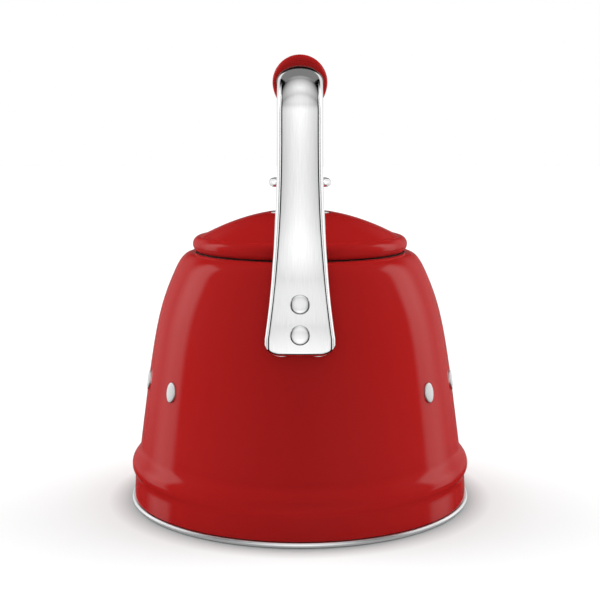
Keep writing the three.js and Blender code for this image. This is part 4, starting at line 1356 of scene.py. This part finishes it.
class KETTLE_OT_grip(bpy.types.Operator):
    """Moulded grip over the end of the arm, with its polished cap and screw"""

    bl_idname = "kettle.grip"
    bl_label = "Grip"

    def execute(self, context):
        self.add_rod()
        self.add_cap()
        self.add_screw()
        return {"FINISHED"}

    def add_rod(self):
        length = GRIP_END - GRIP_START
        belly = highest("handle_grip").x - GRIP_RADIUS
        barrel = []
        count = 16
        for i in range(1, count):
            share = i / count
            along = 3 * MM + (length - 6 * MM) * share
            barrel.append(grip_ring(
                lambda a, s=along: s,
                lambda a, s=share: GRIP_RADIUS + belly * math.sin(math.pi * s)))
        front = list(reversed(grip_end(length, -1)))
        rod = skin("grip_rod", [*grip_end(0, 1), *barrel, *front], joined=True)
        settle(rod, "root", finish("red_grip"), "red_grip", "handle_grip")
        rod.visible_glossy = False

    def add_cap(self):
        length = GRIP_END - GRIP_START
        low = length + GAP
        high = low + CAP_THICKNESS
        hole = 2.3 * MM
        sink = 4.4 * MM
        spigot = 7.4 * MM
        seat = high - 2.6 * MM
        edge = spot(GRIP_RADIUS - 0.4 * MM, low + 1 * MM)
        lip = spot(sink + 0.6 * MM, high)
        crown = curve(edge, spot(edge.x - 0.3 * MM, high - 1 * MM), spot(edge.x - 5 * MM, high), lip, 18)
        body = softened([spot(hole, length - 5 * MM), spot(spigot, length - 5 * MM), spot(spigot, low),
                         spot(edge.x, low), edge], 0.3 * MM)
        well = softened([lip, spot(sink, high - 0.5 * MM), spot(sink, seat), spot(hole, seat),
                         spot(hole, length - 5 * MM)], 0.25 * MM)
        cap = turned("grip_end_cap", [*body, *crown, *well[1:]], SMALL_STEPS, GRIP_PLACE)
        settle(cap, "root", finish("polished_steel"), "polished_steel", "grip_cap")

    def add_screw(self):
        seat = GRIP_END - GRIP_START + GAP + CAP_THICKNESS - 2.6 * MM + GAP
        tip = GRIP_END - GRIP_START - 22 * MM
        head = 4.1 * MM
        shank = 2 * MM
        top = seat + 2 * MM
        socket = 2.2 * MM
        depth = 1.3 * MM
        corners = [
            spot(0, tip), spot(shank, tip), spot(shank, seat), spot(head, seat), spot(head, seat + 1.2 * MM),
            spot(head - 1 * MM, top - 0.1 * MM), spot(socket + 0.2 * MM, top),
        ]
        rings = [circle(p.x, p.y, 96, GRIP_PLACE) for p in softened(corners, 0.3 * MM)]
        rings += [self.hexagon(socket, height) for height in (top - 0.15 * MM, top - depth)]
        rings.append(circle(0, top - depth, 96, GRIP_PLACE))
        screw = skin("grip_bolt", rings)
        settle(screw, "root", finish("polished_steel"), "polished_steel", "grip_screw")

    def hexagon(self, radius, height):
        """Ring of a hexagon socket."""
        ring = []
        for i in range(96):
            angle = TURN * i / 96
            flat = (angle + math.pi / 6) % (math.pi / 3) - math.pi / 6
            reach = radius * math.cos(math.pi / 6) / math.cos(flat)
            ring.append(GRIP_PLACE @ Vector((reach * math.cos(angle), reach * math.sin(angle), height)))
        return ring


# ---- Badges ----

BADGE_HEIGHT = 73 * MM
BADGE_EDGE = math.radians(60)     # keeps the rim of an oval crisp and its dome smooth


def badge_tree(inputs):
    """Row of domed ovals round the wall, each one shaped to it."""
    tree, given, out = geometry_tree("Oval Row", inputs)
    index = node(tree, "GeometryNodeInputIndex").outputs[0]
    last = maths(tree, "SUBTRACT", given["Count"], 1)
    steps = maths(tree, "SUBTRACT", index, maths(tree, "MULTIPLY", last, 0.5))
    from_back = maths(tree, "ADD", maths(tree, "MULTIPLY", steps, given["Pitch"]), math.pi / 2)
    angle = maths(tree, "MULTIPLY", from_back, given["Side"])
    x = maths(tree, "MULTIPLY", maths(tree, "SINE", angle), given["Row Radius"])
    behind = maths(tree, "MULTIPLY", given["Row Radius"], -1)
    y = maths(tree, "MULTIPLY", maths(tree, "COSINE", angle), behind)
    points = node(tree, "GeometryNodePoints", {
        "Count": given["Count"], "Position": vector(tree, x, y, given["Row Height"])}).outputs[0]
    turn = vector(tree, maths(tree, "SUBTRACT", math.pi / 2, given["Lean"]), 0, angle)
    instances = node(tree, "GeometryNodeInstanceOnPoints", {
        "Points": points, "Instance": oval(tree, given), "Rotation": turn}).outputs[0]
    finish_tree(tree, instances, given["Material"], out)
    return tree


def oval(tree, given):
    """Domed oval: a flat disc whose rings are pulled out to the edge and up into a pillow."""
    disc = node(tree, "GeometryNodeMeshCylinder", {
        "Vertices": 64, "Side Segments": 1, "Fill Segments": 9, "Radius": 1.0, "Depth": 1.0},
        fill_type="TRIANGLE_FAN").outputs["Mesh"]
    here = node(tree, "GeometryNodeInputPosition").outputs[0]
    split = node(tree, "ShaderNodeSeparateXYZ", {"Vector": here}).outputs
    flat = vector(tree, split["X"], split["Y"], 0.0)
    radius = node(tree, "ShaderNodeVectorMath", {0: flat}, operation="LENGTH").outputs["Value"]
    safe = maths(tree, "MAXIMUM", radius, 1e-5)
    angle = maths(tree, "MULTIPLY", maths(tree, "MINIMUM", safe, 1.0), math.pi / 2)
    spread = maths(tree, "DIVIDE", maths(tree, "POWER", maths(tree, "SINE", angle), 0.75), safe)
    x = maths(tree, "MULTIPLY", maths(tree, "MULTIPLY", split["X"], spread), given["Half Width"])
    y = maths(tree, "MULTIPLY", maths(tree, "MULTIPLY", split["Y"], spread), given["Half Height"])
    fall = maths(tree, "POWER", maths(tree, "MAXIMUM", maths(tree, "COSINE", angle), 0.0), 0.4)
    rise = maths(tree, "ADD", maths(tree, "MULTIPLY", fall, 0.55), 0.45)
    top = maths(tree, "GREATER_THAN", split["Z"], 0.0)
    height = maths(tree, "MULTIPLY", maths(tree, "MULTIPLY", rise, given["Thickness"]), top)
    across = maths(tree, "MULTIPLY", given["Row Radius"], 2)
    sag = maths(tree, "DIVIDE", maths(tree, "MULTIPLY", x, x), across)
    place = vector(tree, x, y, maths(tree, "SUBTRACT", height, sag))
    return node(tree, "GeometryNodeSetPosition", {"Geometry": disc, "Position": place}).outputs[0]


class KETTLE_OT_badges(bpy.types.Operator):
    """Row of plain oval badges down each side"""

    bl_idname = "kettle.badges"
    bl_label = "Badges"

    def execute(self, context):
        shape = context.scene.kettle_shape
        inputs = {
            "Count": shape.badge_count, "Pitch": shape.badge_pitch, "Side": 1.0,
            "Row Radius": body_radius(BADGE_HEIGHT) + 0.05 * MM, "Row Height": BADGE_HEIGHT,
            "Lean": wall_lean(BADGE_HEIGHT),
            "Half Width": shape.badge_half_width, "Half Height": shape.badge_half_height,
            "Thickness": shape.badge_thickness, "Material": finish("badge_steel"),
        }
        tree = badge_tree(inputs)
        for side, sign in (("right", 1.0), ("left", -1.0)):
            row = grown(tree, f"badges_{side}", {**inputs, "Side": sign})
            row.data.set_sharp_from_angle(angle=BADGE_EDGE)
            nodes = [f"badge_{side}_{i + 1}" for i in range(shape.badge_count)]
            settle(row, "root", None, "badge_steel", *nodes)
        return {"FINISHED"}


# ---- Frame nodes that stay, hidden inside ----

class KETTLE_OT_inner_parts(bpy.types.Operator):
    """Finishes of the plate behind the rivets and of the core inside the grip"""

    bl_idname = "kettle.inner_parts"
    bl_label = "Inner Parts"

    def execute(self, context):
        for name, slot in (("backing_plate", "inner_steel"), ("grip_core", "black_plastic")):
            part = frame["nodes"][name]
            part.data.materials.clear()
            part.data.materials.append(finish(slot))
        return {"FINISHED"}


# ---- Studio ----

FLOOR_RADIUS = 6
PAINTED_FLOOR_SHADOW = (0.28, 0.285, 0.285, 1)     # painted shadow on the floor under the kettle's edge, where little light gets in
OPEN_FLOOR = (0.9, 0.92, 0.92, 1)
CARD_DISTANCE = 0.9
STEEL_PIECES = (
    "handle_arm", "rivet_pair", "knob_turned", "knob_plate", "grip_end_cap", "spout_rim", "base_ring",
    "badges_right", "badges_left",
)
STEEL_CARDS = (                           # name, degrees round, degrees up, width, height, share, spread
    ("front_card", 0, 5, 1.4, 1.8, 0.25, 90),
    ("top_card", 0, 66, 1.7, 1.8, 0.21, 90),
    ("rear_card", 180, 52, 1.0, 0.9, 0.2, 180),
    ("left_rear_card", -137, 5, 1.0, 1.0, 0.6, 180),
    ("right_rear_card", 137, 5, 1.0, 1.0, 0.6, 180),
    ("left_card", -86, 12, 0.36, 1.0, 0.9, 180),
    ("right_card", 86, 12, 0.36, 1.0, 0.9, 180),
)
SIDE_GLOW = (70, 95, 125, 150)            # degrees round from the front: rise, full, fade, end
MAIN_BOX = (95, 103, 114, 132), (-19, -13, 37, 44)    # degrees round, degrees up
DIM_BOX = (117, 132, 138, 174), (-18, -4, 18, 34)
REAR_BOX = (145, 168, 190, 191), (-35, -20, 2, 14)


def white_floor():
    """Matt white sweep, with a painted shadow: dark close round the base and bright further out."""
    material, tree, shader = new_finish("studio_floor")
    grain = place_group(tree, "Fine Grain", Scale=300, Contrast=1)
    shine = between(tree, grain["Grain"], 0.8, 0.9)
    tree.links.new(shine, shader.inputs["Roughness"])
    coords = node(tree, "ShaderNodeTexCoord").outputs["Object"]
    radius = node(tree, "ShaderNodeVectorMath", {0: coords}, operation="LENGTH").outputs["Value"]
    # Painted shadow: the floor's colour darkens to the painted shadow colour over the 16 mm round the base's
    # edge.
    near = {"Value": radius, "From Min": BASE_RADIUS - 2 * MM, "From Max": BASE_RADIUS + 14 * MM}
    clear = maths(tree, "SQRT", node(tree, "ShaderNodeMapRange", near).outputs[0])
    tree.links.new(shades(tree, clear, PAINTED_FLOOR_SHADOW, OPEN_FLOOR), shader.inputs["Base Color"])
    shader.inputs["Specular IOR Level"].default_value = 0
    return material


def step(tree, value, start, end, low=0.0, high=1.0):
    ramp = {"Value": value, "From Min": start, "From Max": end, "To Min": low, "To Max": high}
    return node(tree, "ShaderNodeMapRange", ramp, interpolation_type="SMOOTHSTEP").outputs[0]


def window(tree, value, rise, full, fade, end):
    """1 from full to fade, falling softly to 0 at rise and at end; all in degrees."""
    up = step(tree, value, math.radians(rise), math.radians(full))
    down = step(tree, value, math.radians(fade), math.radians(end), 1.0, 0.0)
    return maths(tree, "MULTIPLY", up, down)


def softbox(tree, round_angle, height, box):
    return maths(tree, "MULTIPLY", window(tree, round_angle, *box[0]), window(tree, height, *box[1]))


def total(tree, *values):
    result = values[0]
    for value in values[1:]:
        result = maths(tree, "ADD", result, value)
    return result


class KETTLE_OT_studio(bpy.types.Operator):
    """Pale floor, soft studio light and the camera"""

    bl_idname = "kettle.studio"
    bl_label = "Studio"

    def execute(self, context):
        settings = context.scene.kettle_studio
        self.add_floor()
        self.add_world(context.scene, settings)
        self.add_cards(context.scene, settings)
        self.add_camera(context.scene, settings)
        context.scene.view_settings.view_transform = "Standard"
        return {"FINISHED"}

    def add_floor(self):
        top, low = -0.02 * MM, -0.04 * MM
        outline = [spot(0, low), spot(FLOOR_RADIUS, low), spot(FLOOR_RADIUS, top), spot(0, top)]
        floor = turned("studio_floor", outline, 64)
        floor.data.materials.append(white_floor())
        floor.visible_glossy = False
        floor.visible_shadow = False

    def add_world(self, scene, settings):
        """White surroundings for the eye; gloss mirrors tall softboxes behind the kettle's sides."""
        world = bpy.data.worlds.new("studio_dome")
        scene.world = world
        world.use_nodes = True
        world.cycles.sampling_method = "NONE"
        tree = world.node_tree
        direction = node(tree, "ShaderNodeTexCoord").outputs["Generated"]
        split = node(tree, "ShaderNodeSeparateXYZ", {"Vector": direction}).outputs
        sideways = maths(tree, "ABSOLUTE", split["X"])
        round_angle = maths(tree, "ARCTAN2", sideways, maths(tree, "MULTIPLY", split["Y"], -1))
        height = maths(tree, "ARCSINE", split["Z"])
        upper_part = step(tree, height, math.radians(-8), math.radians(18), 0.62, 1.0)
        main = maths(tree, "MULTIPLY", softbox(tree, round_angle, height, MAIN_BOX), upper_part)
        dim = maths(tree, "MULTIPLY", softbox(tree, round_angle, height, DIM_BOX), 0.27)
        rear = maths(tree, "MULTIPLY", softbox(tree, round_angle, height, REAR_BOX), 0.12)
        boxes = total(tree, main, dim, rear)
        mirrored = maths(tree, "MULTIPLY", boxes, settings.softbox_light)
        sides = maths(tree, "MULTIPLY", window(tree, round_angle, *SIDE_GLOW), settings.side_light)
        spread = maths(tree, "ADD", sides, settings.fill_light)
        path = node(tree, "ShaderNodeLightPath").outputs
        seen, glossy = path["Is Camera Ray"], path["Is Glossy Ray"]
        soft = maths(tree, "SUBTRACT", 1, maths(tree, "MAXIMUM", seen, glossy))
        in_gloss = maths(tree, "MULTIPLY", mirrored, glossy)
        strength = total(tree, seen, in_gloss, maths(tree, "MULTIPLY", spread, soft))
        background = tree.nodes["Background"]
        background.inputs["Color"].default_value = (1, 1, 1, 1)
        tree.links.new(strength, background.inputs["Strength"])

    def add_cards(self, scene, settings):
        """White cards that light the bare steel alone, and a glow for the knob and the ring."""
        steel = self.group("bare_steel", STEEL_PIECES, scene)
        aim = Vector((0, ARM_Y, 0.17))
        for name, around, up, width, tall, share, spread in STEEL_CARDS:
            data = bpy.data.lights.new(name, "AREA")
            data.shape = "RECTANGLE"
            data.size = width
            data.size_y = tall
            data.energy = settings.card_light * share * width * tall * math.pi
            data.spread = math.radians(spread)
            turn = Matrix.Rotation(math.radians(around), 4, "Z") @ Matrix.Rotation(math.radians(-up), 4, "X")
            away = turn @ Vector((0, -CARD_DISTANCE, 0))
            self.place_light(scene, data, aim + away, -away, steel)
        knob = ("knob_turned", "knob_plate")
        self.add_glow(scene, settings, "knob_glow", 0.3, Vector((0, -1, -0.5)), knob)
        self.add_glow(scene, settings, "ring_glow", 1.0, Vector((0, 0.2, 1)), ("base_ring",))

    def add_glow(self, scene, settings, name, strength, aim, pieces):
        """Even light over half of everything that these pieces mirror."""
        glow = bpy.data.lights.new(name, "SUN")
        glow.angle = math.pi
        glow.energy = strength * settings.card_light
        self.place_light(scene, glow, -aim / 2, aim, self.group(name + "_receivers", pieces, scene))

    def group(self, name, pieces, scene):
        collection = bpy.data.collections.new(name)
        scene.collection.children.link(collection)
        for piece in pieces:
            collection.objects.link(bpy.data.objects[piece])
        return collection

    def place_light(self, scene, data, place, aim, receivers):
        light = bpy.data.objects.new(data.name, data)
        light.matrix_world = Matrix.Translation(place) @ aim.to_track_quat("-Z", "Y").to_matrix().to_4x4()
        light.visible_camera = False
        light.light_linking.receiver_collection = receivers
        scene.collection.objects.link(light)

    def add_camera(self, scene, settings):
        data = bpy.data.cameras.new("studio_camera")
        data.lens = settings.lens
        data.sensor_width = 36
        camera = bpy.data.objects.new("studio_camera", data)
        camera.location = (0, -settings.camera_distance, settings.camera_height)
        camera.rotation_euler = (math.pi / 2 - settings.camera_tilt, 0, 0)
        scene.collection.objects.link(camera)
        scene.camera = camera


# ---- Panel and registration ----

OPERATORS = (
    KETTLE_OT_finishes, KETTLE_OT_body, KETTLE_OT_base, KETTLE_OT_spout, KETTLE_OT_whistle,
    KETTLE_OT_lid, KETTLE_OT_knob, KETTLE_OT_arm, KETTLE_OT_rivets, KETTLE_OT_grip, KETTLE_OT_badges,
    KETTLE_OT_inner_parts, KETTLE_OT_studio,
)
SETTINGS = {"kettle_shape": KettleShape, "kettle_finish": KettleFinish, "kettle_studio": KettleStudio}


class KETTLE_PT_panel(bpy.types.Panel):
    """Lists the kettle's settings and pieces"""

    bl_idname = "KETTLE_PT_panel"
    bl_label = "Whistling Kettle"
    bl_space_type = "VIEW_3D"
    bl_region_type = "UI"
    bl_category = "Kettle"

    def draw(self, context):
        for group in SETTINGS:
            box = self.layout.box()
            settings = getattr(context.scene, group)
            for name in settings.__annotations__:
                box.prop(settings, name)
        for operator in OPERATORS:
            self.layout.operator(operator.bl_idname)


def register():
    for group, kind in SETTINGS.items():
        bpy.utils.register_class(kind)
        setattr(bpy.types.Scene, group, PointerProperty(type=kind))
    for kind in (*OPERATORS, KETTLE_PT_panel):
        bpy.utils.register_class(kind)


def unregister():
    for kind in reversed((*OPERATORS, KETTLE_PT_panel)):
        bpy.utils.unregister_class(kind)
    for group, kind in SETTINGS.items():
        delattr(bpy.types.Scene, group)
        bpy.utils.unregister_class(kind)


def main():
    register()
    for operator in OPERATORS:
        getattr(bpy.ops.kettle, operator.bl_idname.split(".")[1])()
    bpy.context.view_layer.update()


if __name__ == "__main__":
    main()
